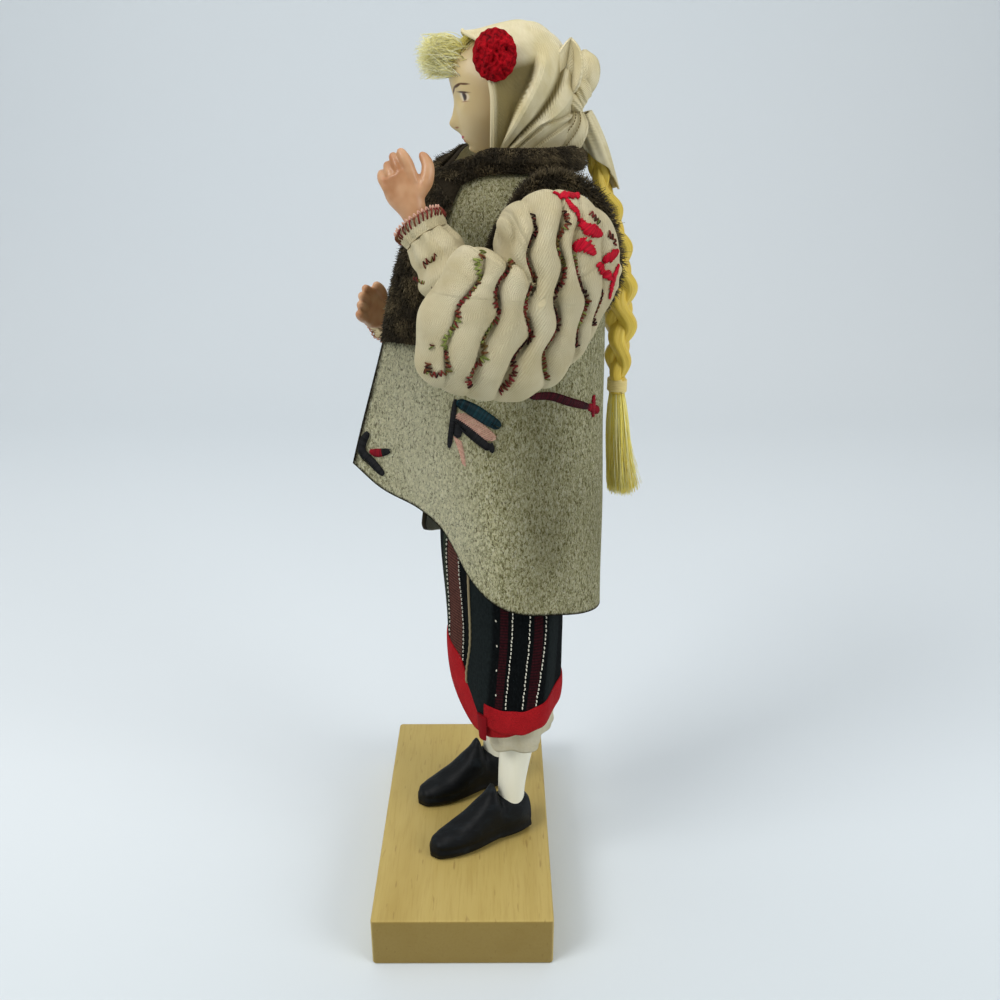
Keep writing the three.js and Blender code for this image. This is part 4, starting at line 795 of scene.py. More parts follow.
def strip_place(u, v):
    """Angle and height on the vest of a place on the collar's strip: up the left edge, round the collar
    and down the right edge, with mitred corners; v runs from the vest's edge inward."""
    def inward(z, degrees, width):
        return v * np.degrees(width / vest_radius(np.full_like(z, degrees), z))
    def upper(degrees):
        return vest_top(degrees) - COLLAR_WIDTH * v
    left_top, right_top = upper(np.full_like(u, VEST_LEFT)), upper(np.full_like(u, VEST_RIGHT))
    left_z = LAPEL_LOW[0] + (left_top - LAPEL_LOW[0]) * np.clip(u / LAPEL, 0, 1)
    right_z = LAPEL_LOW[1] + (right_top - LAPEL_LOW[1]) * np.clip((1 - u) / LAPEL, 0, 1)
    left = VEST_LEFT + inward(left_z, VEST_LEFT, LAPEL_WIDTH[0])
    right = VEST_RIGHT - inward(right_z, VEST_RIGHT, LAPEL_WIDTH[1])
    start = VEST_LEFT + inward(left_top, VEST_LEFT, LAPEL_WIDTH[0])
    stop = VEST_RIGHT - inward(right_top, VEST_RIGHT, LAPEL_WIDTH[1])
    middle = start + (stop - start) * np.clip((u - LAPEL) / (1 - 2 * LAPEL), 0, 1)
    degrees = np.where(u < LAPEL, left, np.where(u > 1 - LAPEL, right, middle))
    return degrees, np.where(u < LAPEL, left_z, np.where(u > 1 - LAPEL, right_z, upper(middle)))


def strip_pile(u, v):
    """How far the strip's pile stands out: low at its edges and ends."""
    end = np.minimum(1, np.minimum(u, 1 - u) / 0.03)
    return 0.8 + (FUR_PILE - 0.8) * (1 - (2 * v - 1) ** 4) * (0.4 + 0.6 * end)


def fullness(angle):
    """How full the armhole's roll is at an angle round it: most over the shoulder and behind."""
    return ease(np.cos(angle - np.radians(40)), -0.2, 0.6)


def armhole_fur(sign, u, w, share=1.0):
    """The roll round an armhole at its share u of the way round and w round its section: the seat is found on
    the vest by halving the angle till the back-to-front place fits."""
    a = u * 2 * np.pi
    pile = 0.7 + (FUR_PILE / 2 - 0.7) * fullness(a)
    spread = ARMHOLE + pile + 0.6
    y, z = SHOULDER_BACK + spread * np.cos(a), SHOULDER_HEIGHT + spread * np.sin(a)
    front, back = (np.full_like(y, degrees) for degrees in ((10.0, 175.0) if sign > 0 else (350.0, 185.0)))
    for _ in range(30):
        middle = (front + back) / 2
        short = -vest_radius(middle, z) * np.cos(np.radians(middle)) < y
        front, back = np.where(short, middle, front), np.where(short, back, middle)
    seat = vest(front, z, 0.3 + pile)
    out = vest(front, z, 1.3 + pile) - seat
    radial = joined(0, np.cos(a), np.sin(a))
    along = unit(radial - out * np.sum(radial * out, -1, keepdims=True))
    turn = w * 2 * np.pi
    return (seat + out * (share * pile * np.sin(turn))[..., None]
            + along * (share * (pile + 0.8) * np.cos(turn))[..., None])


def tuft(roots, tips, comb, length, seed):
    """Strands from roots toward tips, bent over to the comb's direction by chance, each of its own length."""
    chance = np.random.default_rng(seed)
    way = unit(tips - roots)
    count = len(roots)
    long = (length * chance.uniform(0.6, 1.2, count))[:, None]
    stray = chance.normal(0, 0.34, (count, 3))
    middle = roots + long * 0.55 * (way + 0.35 * stray)
    end = middle + long * 0.6 * (0.45 * way + comb + 0.8 * stray)
    return np.stack([roots, middle, end], 1)


fur, tree, shader = finish("lamb_fur", 0.65, gloss=0.25)
tone = band(tree, kept(tree, "tint"), (0.0, (44, 36, 23)), (0.5, (90, 78, 54)), (0.85, (132, 118, 87)),
            (1.0, (172, 159, 127)))
patches = grain(tree, coords(tree), 150)
paint(tree, shader, mixed(tree, veil(tree, patches, (0.4, 0.75), (0.6, 0)), tone, (26, 21, 12)))
fur_ground, tree, shader = finish("fur_ground", 0.9, (38, 32, 21))
relief(tree, shader, grain(tree, coords(tree), 900, detail=4), 0.0012, 0.8)

u, v = shares(220, 24)
outer = vest(*strip_place(u, v), FUR_SEAT - 0.6 + 0.6 * strip_pile(u, v))
ground = skin("collar_fur_ground", figure(outer))
backed(ground, 1.2)
fit(ground, fur_ground, "stand", "fur")
chance = np.random.default_rng(3)
for layer, long, half in (("under", 1.0, 0.00018), ("upper", 1.6, 0.00013)):
    u, v = chance.uniform(0, 1, 25000), chance.uniform(0, 1, 25000)
    strip_area = np.where(u > 1 - LAPEL, LAPEL_WIDTH[1] * 34, COLLAR_WIDTH * 90)
    strip_area = np.where(u < LAPEL, LAPEL_WIDTH[0] * 50, strip_area)
    keep = chance.uniform(0, 1, len(u)) < strip_area / 800
    u, v = u[keep], v[keep]
    stand = strip_pile(u, v)
    place = strip_place(u, v)
    roots, tips = vest(*place, FUR_SEAT - 0.8 + stand * 0.55), vest(*place, FUR_SEAT + 1 + stand)
    inner, outer = (strip_place(u, np.clip(v + step, 0, 1)) for step in (0.05, -0.05))
    inward = unit(vest(*inner, FUR_SEAT) - vest(*outer, FUR_SEAT))
    comb = inward * (0.9 * (v - 0.42))[:, None] + np.array([0, 0, -0.45])
    hairs = tuft(roots, tips, comb, long * stand / FUR_PILE + 0.7, 5)
    pile = fibres(f"collar_fur_{layer}", figure(hairs), half, 0.3, chance.beta(2, 2.4, len(u)))
    fit(pile, fur, "stand", "fur", *(["collar_fur"] if layer == "upper" else []))

for sign, side in ((1, "left"), (-1, "right")):
    u, w = np.meshgrid(np.linspace(0, 1, 150, False), np.linspace(0, 1, 16, False), indexing="ij")
    ring = figure(armhole_fur(sign, u, w, 0.62))
    ring = np.concatenate([ring, ring[:1]])
    ground = skin(side + "_armhole_fur_ground", ring, True)
    fit(ground, fur_ground, "stand", "fur")
    count = 9000
    u, w = chance.uniform(0, 1, count), chance.uniform(-0.08, 0.58, count)
    roots, tips = armhole_fur(sign, u, w, 0.55), armhole_fur(sign, u, w, 1.1)
    away = joined(0, np.cos(u * 2 * np.pi), np.sin(u * 2 * np.pi))
    comb = away * 0.35 + np.array([0, 0, -0.3])
    hairs = tuft(roots, tips, comb, 0.9 + 1.3 * fullness(u * 2 * np.pi), 8)
    pile = fibres(side + "_armhole_fur_pile", figure(hairs), 0.00015, 0.3, chance.beta(2, 2.4, count))
    fit(pile, fur, "stand", "fur", side + "_armhole_fur")

# Vest embroidery: thick wool yarn laid in satin stitch; an angle and a drop in the left corner, a comb-like
# motif at the side, a band under the arm that ends in a small cross.
YARN_SEAT = 0.25


def run_along(points):
    """The length of a line of points from its start to each of them."""
    return np.concatenate([[0], np.cumsum(np.linalg.norm(np.diff(points, axis=0), axis=1))])


def through(points, run, at):
    """A smooth line through points, each at its place on the run."""
    return np.stack([follow(joined(run, column), at) for column in np.array(points, float).T], -1)


def evenly(points, normals, pitch):
    """Points and normals along a line at an even pitch, with the line's own direction at each."""
    run = run_along(points)
    at = np.arange(pitch / 2, run[-1], pitch)
    spots, up = (joined(*(np.interp(at, run, column) for column in values.T)) for values in (points, normals))
    up = unit(up)
    way = unit(np.gradient(spots, axis=0))
    return spots, up, way, at / run[-1]


def satin(points, normals, widths, pitch=0.3, rise=0.4, slant=0.0):
    """Stitches side by side across a line, as long as the widths' stops say, arched over the ground."""
    spots, up, way, share = evenly(points, normals, pitch)
    across = np.cross(up, way) + slant * way
    half = follow(widths, share)[:, None] / 2
    return arched(spots - across * half, spots + across * half, up * rise)


def jagged(stitches):
    """Stitches cut to uneven lengths about their middles."""
    middle = stitches.mean(1, keepdims=True)
    return middle + (stitches - middle) * chance.uniform(0.7, 1.3, (len(stitches), 1, 1))


def on_vest(line):
    """A line given by stops of angle and height on the vest, drawn out smoothly, with the skin's normals."""
    degrees, z = through(line, np.linspace(0, 1, len(line)), np.linspace(0, 1, 60)).T
    return vest(degrees, z, YARN_SEAT), vest(degrees, z, YARN_SEAT + 1) - vest(degrees, z, YARN_SEAT)


black_yarn = yarn("black_yarn", 0.55, (12, 13, 14), (34, 34, 36))
teal_yarn = yarn("teal_yarn", 0.4, (4, 18, 22), (18, 58, 66))
red_yarn = yarn("red_yarn", 0.6, (104, 8, 24), (150, 20, 36))
pink_yarn = yarn("pink_yarn", 0.75, (196, 150, 132), (214, 172, 150))
wine_yarn = yarn("wine_yarn", 0.55, (22, 6, 10), (76, 14, 26))
RODLIKE = (0, 0.35), (0.06, 0.85), (0.12, 1), (0.88, 1), (0.94, 0.85), (1, 0.35)


def bar(width):
    """Widths of a bar with rounded ends."""
    return [(place, width * share) for place, share in RODLIKE]


chance = np.random.default_rng(21)
for name, material, works in (
        ("vest_black_work", black_yarn, (
            satin(*on_vest(((14.4, 157.0), (13.6, 154), (14.0, 151.0), (17.2, 148.2), (20.8, 144.8))),
                  bar(2.1)),
            satin(*on_vest(((19.3, 151.4), (20.4, 151.7), (21.8, 152.1))), ((0, 2.2), (0.6, 1.8), (1, 0.8))),
            satin(*on_vest(((45.6, 168.6), (44.6, 161.8), (43.6, 154.4))), bar(1.3)),
            satin(*on_vest(((45.3, 162.6), (52.2, 159.4), (61.3, 154.5))), bar(2.2)),
            satin(*on_vest(((47.3, 161.7), (47.1, 157.6))), bar(2.0)),
            satin(*on_vest(((61.6, 156.4), (62.4, 153.6))), bar(1.2)))),
        ("vest_teal_work", teal_yarn, (
            satin(*on_vest(((46.3, 167.9), (53.4, 165.9), (59.7, 163.5), (65.9, 161.1))),
                  bar(3.0), rise=0.6),)),
        ("vest_red_work", red_yarn, (
            satin(*on_vest(((15.9, 151.6), (17.4, 151.2), (19.5, 151.4))), ((0, 0.8), (0.4, 2.2), (1, 2.3))),
            jagged(satin(*on_vest(((117.8, 166.6), (117.2, 160.0))), bar(1.7), rise=0.25)),
            jagged(satin(*on_vest(((111.4, 164.0), (124.4, 160.8))), bar(1.9), rise=0.25)))),
        ("vest_pink_work", pink_yarn, (
            satin(*on_vest(((46.6, 164.4), (53.0, 161.8), (58.2, 159.5), (63.0, 157.2))),
                  bar(3.0), 0.62, 0.2, 0.5),
            satin(*on_vest(((46.9, 157.3), (48.8, 153.6), (50.1, 149.6))),
                  ((0, 1.9), (1, 1.0)), 0.75, 0.15, 1.2))),
        ("vest_wine_work", wine_yarn, (
            satin(*on_vest(((79.0, 169.8), (88.7, 169.5), (99.2, 166.9), (113.4, 163.5))), bar(2.0),
                  slant=0.3, rise=0.25),))):
    work = np.concatenate(works)
    piece = fibres(name, figure(work), 0.00021, 1.0, chance.uniform(0, 1, len(work)), 5)
    fit(piece, material, "stand", "crimson" if "red" in name else "black_wool")

# Sleeves: very full sleeves of ribbed cream cotton, drawn in along rows of zigzag stitching so that they puff
# between them, with crimson satin leaves at the shoulder; wadding and a bent wire hold them out.
SLEEVE_OUT, SLEEVE_HALF, SQUARENESS, POLE_GAP = 50.5, 10.5, 2.4, 0.015
PUFF_MIDDLE = -14.5, 201.5
PUFF = {"left": (1, PUFF_MIDDLE, 1.0), "right": (-1, (1.0, 195.0), 0.82)}
PUFF_OUTLINE = ((0, 24.6), (19, 27.2), (33, 28.6), (46, 28.6), (59, 28), (70, 27), (79, 26), (88, 24.5),
                (96, 23), (103, 22), (108, 20.8), (111.5, 18.8), (114, 15), (117, 11.8), (121, 11.4),
                (126, 13.2), (132, 16.4), (138, 20), (148, 21.4), (164, 22.5), (175, 25), (187, 28.5),
                (200, 31), (212, 34), (228, 31.5), (240, 29.5), (264, 27.6), (277, 26), (290, 24.6),
                (309, 22.6), (339, 22), (360, 24.6))
CREASES = (((175, -46), (230, -40)),
           ((183, -38), (191, -38.4), (196, -36.6), (201, -35.2), (208, -29.4), (214, -27.6)),
           ((179, -31.5), (186, -30.7), (192, -29.2), (199, -25.3), (206, -25.2), (212, -20.5)),
           ((177, -24), (187, -20.8), (193, -16.6), (200, -18.2), (207, -15.9), (213, -17.8), (219, -15),
            (223, -15.2)),
           ((179, -10.4), (188, -12.3), (195, -9), (203, -10.1), (210, -8), (216, -9.2), (223, -6.8)),
           ((187, -2.2), (193, -2.8), (200, -0.9), (208, -4.4), (214, -5.4), (224, -2)),
           ((190, 1.8), (197, 2), (203, 3.7), (214, 3.5), (224, 4)),
           ((180, 10), (230, 14)))
CREASE_DEPTH = (0, 1.2), (1, 2.0), (2, 2.5), (3, 2.8), (4, 2.6), (5, 1.9), (6, 1.3), (7, 0.7)


def gathers(y, z):
    """How far the cotton puffs out: nothing on a row of stitching, full halfway to the next."""
    rows = [follow(line, z) for line in CREASES]
    phase = sum(np.clip((y - a) / (b - a), 0, 1) for a, b in zip(rows, rows[1:]))
    return 1.25 * follow(CREASE_DEPTH, phase) * (np.abs(np.sin(np.pi * phase)) ** 0.55 - 0.62)


def outward(grid):
    """Unit normals of a grid that is closed round its columns."""
    wide = np.concatenate([grid[:, -1:], grid, grid[:, :1]], 1)
    normal = np.cross(np.gradient(wide, axis=1)[:, 1:-1], np.gradient(grid, axis=0))
    normal /= np.linalg.norm(normal, axis=2, keepdims=True) + 1e-9
    return normal * np.sign(np.sum(normal * (grid - grid.mean((0, 1)))))


def bag(side):
    """The sleeve's bag: superellipse rounds from the outer face over the rim to the inner face, their outline
    following the stops, puffed by the gathers; gives the points, the normals, the flat cloth and a share of
    painted shade that is greatest where the cloth sinks between the gathers."""
    sign, (cy, cz), share = PUFF[side]
    swing = np.linspace(POLE_GAP, np.pi - POLE_GAP, 170)[:, None]
    angle = np.linspace(0, 360, 300, False)[None]
    c, s = np.cos(swing), np.sin(swing) ** (2 / SQUARENESS)
    r = follow(PUFF_OUTLINE, angle) * s
    y, z = r * np.cos(np.radians(angle)), r * np.sin(np.radians(angle))
    x = sign * (SLEEVE_OUT + SLEEVE_HALF * np.sign(c) * np.abs(c) ** (2 / SQUARENESS))
    grid = joined(x, cy + share * y, cz + share * z)
    puff = gathers(PUFF_MIDDLE[0] + y, PUFF_MIDDLE[1] + z) * share
    puff = puff * (1 - 0.65 * ease(s, 0.72, 1))
    crumple = 0.28 * np.sin(0.5 * y + 0.14 * z + 0.2 * x) * np.sin(0.26 * z - 0.3 * y)
    for _ in range(2):
        grid = grid + outward(grid) * ((puff + crumple) / 2)[..., None]
    run = np.cumsum(np.linalg.norm(np.diff(grid, axis=0, prepend=grid[:1]), axis=2), 0) / 1000
    run = np.concatenate([run, run[:, :1]], 1)
    turn = np.radians(np.linspace(0, 360, 301))[None]
    # The share of painted shade grows where the gathers sink between the rows of stitching.
    flat, deep = joined(run * np.cos(turn), run * np.sin(turn)), np.clip(-0.42 * puff - 0.1, 0, 0.6)
    return grid, outward(grid), flat, deep


def tube(stops, halves, side, rows=60, around=60, wave=0.0):
    """Rounds carried along a smooth path through stops; halves are stops of the two half widths, along the
    given side and across it, and wave adds to both at each place."""
    points = np.array(stops, float)
    run = run_along(points)
    t = np.linspace(0, 1, rows)
    path = through(points, run / run[-1], t)
    way = unit(np.gradient(path, axis=0))
    first = unit(np.array(side, float) - way * (way @ np.array(side, float))[:, None])
    other = np.cross(way, first)
    angle = once_round(around)[None, :, None]
    a, b = ((follow(half, t)[:, None] + wave)[..., None] for half in halves)
    return path[:, None] + a * np.cos(angle) * first[:, None] + b * np.sin(angle) * other[:, None]


def merged(name, *pieces):
    """One piece from several."""
    whole = bmesh.new()
    for piece in pieces:
        whole.from_mesh(piece.data)
        bpy.data.objects.remove(piece)
    mesh = bpy.data.meshes.new(name)
    whole.to_mesh(mesh)
    whole.free()
    made = bpy.data.objects.new(name, mesh)
    scene.collection.objects.link(made)
    return made


FOREARM = {"left": ((43, -27.5, 199), (33.2, -35, 214.5)), "right": ((-46, -10, 178), (-16.6, -32.4, 183.6))}
PLUG_SIZE = (0, 7.6), (0.05, 9.2), (0.14, 10.6), (0.34, 12.2), (0.8, 13), (1, 12)
FOREARM_SIZE = (0, 11.2), (0.3, 9.4), (0.7, 7.4), (1, 6.0)
CUFF_RADIUS, CUFF_LENGTH, WRIST_RADIUS = 5.9, 4.5, 3.5
bags = {}


def forearm(side):
    """Where the forearm starts, its wrist and its direction."""
    start, wrist = np.array(FOREARM[side], float)
    return start, wrist, unit(wrist - start)


for side, (start, wrist) in FOREARM.items():
    sign = PUFF[side][0]
    grid, normals, flat, deep = bags[side] = bag(side)
    puffed = skin(side + "_bag", figure(grid), True, (0, -1), uv=flat)
    t, a = np.linspace(0, 1, 40)[:, None], once_round(160)[None]
    pleats = 0.55 * np.cos(13 * a + 0.8 * np.sin(3 * a)) + 0.2 * np.cos(8 * a + 2)
    pleats = pleats * (0.35 + 0.65 * ease(t, 0, 0.2)) * (1.1 - 0.5 * t)
    ends = [(sign * x, SHOULDER_BACK, SHOULDER_HEIGHT) for x in (30.6, 47)]
    plug = figure(tube(ends, (PLUG_SIZE,) * 2, (0, 1, 0), 40, 160, pleats))
    plug = cloth_of(side + "_plug", plug, True, (0, -1))
    t, a = np.linspace(0, 1, 70)[:, None], once_round(96)[None]
    draw = 0.45 * np.cos(9 * a + 2 * t) * ease(t, 0.25, 0.9)
    draw = draw + 0.7 * np.sin(5.2 * t * np.pi + 1.3 * np.cos(a)) * (1 - ease(t, 0.5, 1))
    arm = figure(tube((start, wrist), (FOREARM_SIZE,) * 2, (1, 0, 0), 70, 96, draw))
    arm = cloth_of(side + "_forearm", arm, True, (0, -1))
    sleeve = merged(side + "_sleeve_cotton", puffed, plug, arm)
    # Painted shade kept for the cotton: darker in the hollows between the puffs.
    mark(sleeve, "hollow", np.concatenate([deep.ravel(), np.zeros(len(sleeve.data.vertices) - deep.size)]))
    fit(sleeve, cotton, side + "_arm", "cotton", side + "_sleeve")


def on_bag(side, line, out=0.12):
    """A line of (back, up) stops laid on the bag's outer face, with the normals there: its turn and its share
    of the outline give the row and column of the bag's grid, and the four neighbours are blended."""
    grid, normals = bags[side][:2]
    stops = np.array(line, float)
    run = run_along(stops)
    y, z = through(stops, run, np.linspace(0, run[-1], 120)).T
    y, z = y - PUFF_MIDDLE[0], z - PUFF_MIDDLE[1]
    angle = np.degrees(np.arctan2(z, y)) % 360
    size = np.clip(np.hypot(y, z) / follow(PUFF_OUTLINE, angle), 0, 0.999)
    row = (np.arcsin(size ** (SQUARENESS / 2)) - POLE_GAP) / (np.pi - 2 * POLE_GAP) * (len(grid) - 1)
    col = angle / 360 * grid.shape[1]
    i, j = np.clip(row.astype(int), 0, len(grid) - 2), col.astype(int) % grid.shape[1]
    p, q, k = (row - i)[:, None], (col - np.floor(col))[:, None], (j + 1) % grid.shape[1]
    at = lambda g: (g[i, j] * (1 - p) * (1 - q) + g[i + 1, j] * p * (1 - q)
                    + g[i, k] * (1 - p) * q + g[i + 1, k] * p * q)
    return at(grid) + at(normals) * out, at(normals)


def zigzag(points, normals, half=0.92, pitch=0.56, rise=0.35):
    """Stitches that run from one side of a line to the other and on, some of them doubled back."""
    spots, up, way, _ = evenly(points, normals, pitch)
    across = np.cross(up, way)
    edge = np.where(np.arange(len(spots)) % 2, half, -half)[:, None] * across
    corners = spots + edge * chance.uniform(0.55, 1.3, (len(spots), 1))
    corners = corners + way * chance.normal(0, 0.18, (len(spots), 1))
    return arched(corners[:-1], corners[1:], up[:-1] * rise)


stitch_yarn = yarn("sleeve_yarn", 0.6, (40, 20, 14), (82, 40, 26), (124, 34, 36), (104, 68, 38),
                   (92, 102, 44), (136, 146, 76))
ROWS = (((-27.3, 214), (-29.6, 212), (-29.4, 208), (-32.5, 204), (-35.2, 201.1), (-35.1, 198.6), (-36.6, 196),
         (-38.7, 192.9), (-38.4, 190.6)),
        ((-19.8, 211.1), (-23.4, 208.7), (-25.1, 206.5), (-26.4, 202.9), (-25.2, 198.8), (-28.1, 195),
         (-29.4, 192.5), (-28.5, 188.9), (-30.7, 186.1), (-32.7, 183.3), (-31.3, 179.6)),
        ((-15.2, 222.9), (-15, 221.3), (-14.9, 218.7), (-16.7, 216), (-17.9, 212.4), (-17, 209.8),
         (-15.8, 207.2), (-17.7, 203.3), (-18.2, 199.5), (-17.4, 195.5), (-16.4, 192.8), (-18.7, 190.2),
         (-21, 187.5), (-20.6, 183.8), (-22.1, 180), (-23.8, 177.2)),
        ((-6.8, 223.2), (-6.7, 220), (-9.1, 216.7), (-9.6, 214.3), (-8, 210.5), (-8.1, 207.1), (-10.1, 202.9),
         (-9.9, 199), (-8.9, 194.8), (-10.9, 191.9), (-12.3, 188.9), (-11.8, 184.1), (-10.3, 179.8)),
        ((-5.3, 212.9), (-4.6, 209.1), (-3.3, 204.9), (-0.9, 201.3), (-1, 198.3), (-2.8, 193.6), (-3, 190.2),
         (-2.1, 187.9)),
        ((3.8, 203.1), (2.5, 200.6), (1.9, 197.6), (2.4, 193.2)),
        ((-43, 185), (-41.7, 184.5), (-40.1, 184.3), (-38.1, 184.7)), ((-42.3, 187.6), (-41.7, 184.5)),
        ((-41.2, 192.3), (-40.9, 190.6)), ((-38.4, 190.6), (-37.8, 187.2), (-37.5, 184.8)))
LEAVES = ((((-8.7, 226.4), (-6.7, 226.2), (-4.2, 225.7), (-0.7, 225.9)), 1.7),
          (((-5.7, 225.1), (-4.9, 223), (-2.9, 220.5), (-1.3, 218.1)), 1.2),
          (((-3, 219.6), (-0.9, 218), (3.3, 216.7)), 2.3),
          (((-5.2, 215), (-2.8, 214.5), (0.3, 212.1)), 2.4), (((1.2, 210), (3.1, 208.3), (5.8, 205.6)), 2.3),
          (((3.6, 210.7), (6, 211.3), (8.7, 212.1)), 1.8), (((9, 208.7), (6.7, 205.2), (5.7, 200.6)), 1.4))
SPRIGS = ((-0.3, 222.1), (1.8, 220.3), (3.1, 219.1)), ((4.8, 216.8), (6.8, 215.3), (7.4, 213.6))
LEAF = (0, 0.4), (0.3, 1), (0.65, 0.85), (1, 0.35)
leaf_yarn = yarn("crimson_yarn", 0.5, (158, 6, 30), (204, 14, 46))
for side in PUFF:
    rows = [zigzag(*on_bag(side, line)) for line in ROWS + SPRIGS]
    tints = []
    for k, row in enumerate(rows):
        tint = 0.3 + 0.34 * (k == 0) + 0.22 * (k == 1) + 0.3 * np.sin(np.linspace(0, 9, len(row)) + 2 * k)
        tints.append(np.clip(tint + chance.normal(0, 0.2, len(row)), 0, 1))
    rows, tints = np.concatenate(rows), np.concatenate(tints)
    piece = fibres(side + "_sleeve_rows", figure(rows), 0.00023, 1.0, tints, 4)
    fit(piece, stitch_yarn, side + "_arm", "tie_thread")
    leaves = [satin(*on_bag(side, line, 0.2), [(p, 1.3 * width * w) for p, w in LEAF], 0.24, 0.25, 0.5)
              for line, width in LEAVES]
    leaves = np.concatenate([jagged(stitches) for stitches in leaves])
    piece = fibres(side + "_sleeve_leaves", figure(leaves), 0.0002, 1.0, chance.uniform(0, 1, len(leaves)), 4)
    fit(piece, leaf_yarn, side + "_arm", "crimson")

# Cuffs: the end of the cotton sleeve drawn in and turned back round the wrist, its edge whipped over with
# dark red yarn and set with small pink loops.


def cuff(side, around, along, out=0.0):
    """A place on the cuff: so far along the forearm from the wrist, so far round it."""
    _, wrist, axis = forearm(side)
    first = unit(np.array([1.0, 0, 0]) - axis * axis[0])
    other = np.cross(axis, first)
    a, along = np.broadcast_arrays(np.asarray(around, float), np.asarray(along, float))
    r = CUFF_RADIUS + 0.7 * along / CUFF_LENGTH + out + 0.22 * np.cos(12 * a)
    return (wrist + axis * along[..., None] + first * (r * np.cos(a))[..., None]
            + other * (r * np.sin(a))[..., None])


for side in FOREARM:
    a = once_round(120)[None]
    along = np.concatenate([np.full(6, 0.3), np.linspace(0.3, 4.4, 14), np.full(6, 4.6)])[:, None]
    out = np.concatenate([np.linspace(-2.0, 0, 6), 0.3 * np.sin(np.linspace(0, np.pi, 14)),
                          np.linspace(0, -2.2, 6)])[:, None]
    ring = figure(cuff(side, a, along + 0.25 * np.sin(12 * a) * (along > 4), out))
    ring = np.concatenate([ring, ring[:1]])
    piece = cloth_of(side + "_cuff_cotton", ring, True)
    fit(piece, cotton, side + "_arm", "cotton", side + "_cuff")
    a = once_round(34)
    whip = arched(cuff(side, a, 2.7, 0.25), cuff(side, a + 0.13, 4.6, 0.3),
                  cuff(side, a, 3.6, 0.9) - cuff(side, a, 3.6, 0.3))
    loops = arched(cuff(side, a - 0.06, 4.4, 0.1), cuff(side, a + 0.06, 4.4, 0.1),
                   cuff(side, a, 5.5, 0.2) - cuff(side, a, 4.4, 0.1), 7)
    piece = fibres(side + "_cuff_whipping", figure(whip), 0.00026, 1.0, chance.uniform(0.25, 0.6, len(a)), 5)
    fit(piece, stitch_yarn, side + "_arm", "tie_thread")
    piece = fibres(side + "_cuff_loops", figure(loops), 0.00022, 1.0, chance.uniform(0, 1, len(a)), 5)
    fit(piece, pink_yarn, side + "_arm", "tie_thread")

FOREARM_ROWS = (((-38.6, 208.5), (-37.5, 210.1), (-35.2, 211.3)),
                ((-40.6, 205.4), (-38.8, 204.6), (-37.3, 203.8), (-35.8, 201.8), (-33.1, 203), (-30.4, 205)),
                ((-39.7, 197.3), (-38.9, 199), (-37, 199.4), (-34.3, 200.6)))
start, wrist, _ = forearm("left")
flat_way = (wrist - start)[1:]
rows = []
for stops in FOREARM_ROWS:
    y, z = through(stops, np.linspace(0, 1, len(stops)), np.linspace(0, 1, 40)).T
    share = ((y - start[1]) * flat_way[0] + (z - start[2]) * flat_way[1]) / (flat_way @ flat_way)
    share = np.clip(share, -0.5, 1)
    middle = start + share[:, None] * (wrist - start)
    r = follow(FOREARM_SIZE, share) + 1.1
    miss = np.hypot(y - middle[:, 1], z - middle[:, 2])
    x = middle[:, 0] + np.sqrt(np.maximum(r ** 2 - miss ** 2, 1.0))
    spots = joined(x, y, z)
    rows.append(zigzag(spots, spots - middle))
rows = np.concatenate(rows)
piece = fibres("left_forearm_rows", figure(rows), 0.00021, 1.0, chance.uniform(0, 1, len(rows)), 4)
fit(piece, stitch_yarn, "left_arm", "tie_thread")

# Hands: moulded hands in flesh-coloured enamel, pushed on wires in the cuffs; the left one is raised as if to
# hold something between finger and thumb, the right one is held out, palm up.
HAND_LENGTH = 20
PALM = ((0, 3.3), (0.3, 3.6), (0.65, 5.2), (1, 4.4)), ((0, 3.2), (0.3, 2.9), (0.65, 2.6), (1, 1.7))
HAND = {"left": ((-4.1, -8, 20), (0.5, 0.85, 0.1),
                 ((2.2, 0, 6), (6.2, 1, 9), (8, 2.2, 12.5), (7.4, 3, 16)),
                 lambda k: (-0.8, 1 + 1.1 * (1.5 - k), 1 - 0.13 * (1.5 - k))),
        "right": ((13.5, -14, 11), (-0.2, 0.3, 1),
                  ((2.2, 0, 6), (5, -1, 9), (6.2, -1.6, 12.5), (6.4, -1.8, 15.5)),
                  lambda k: (0, -1.2, 1))}


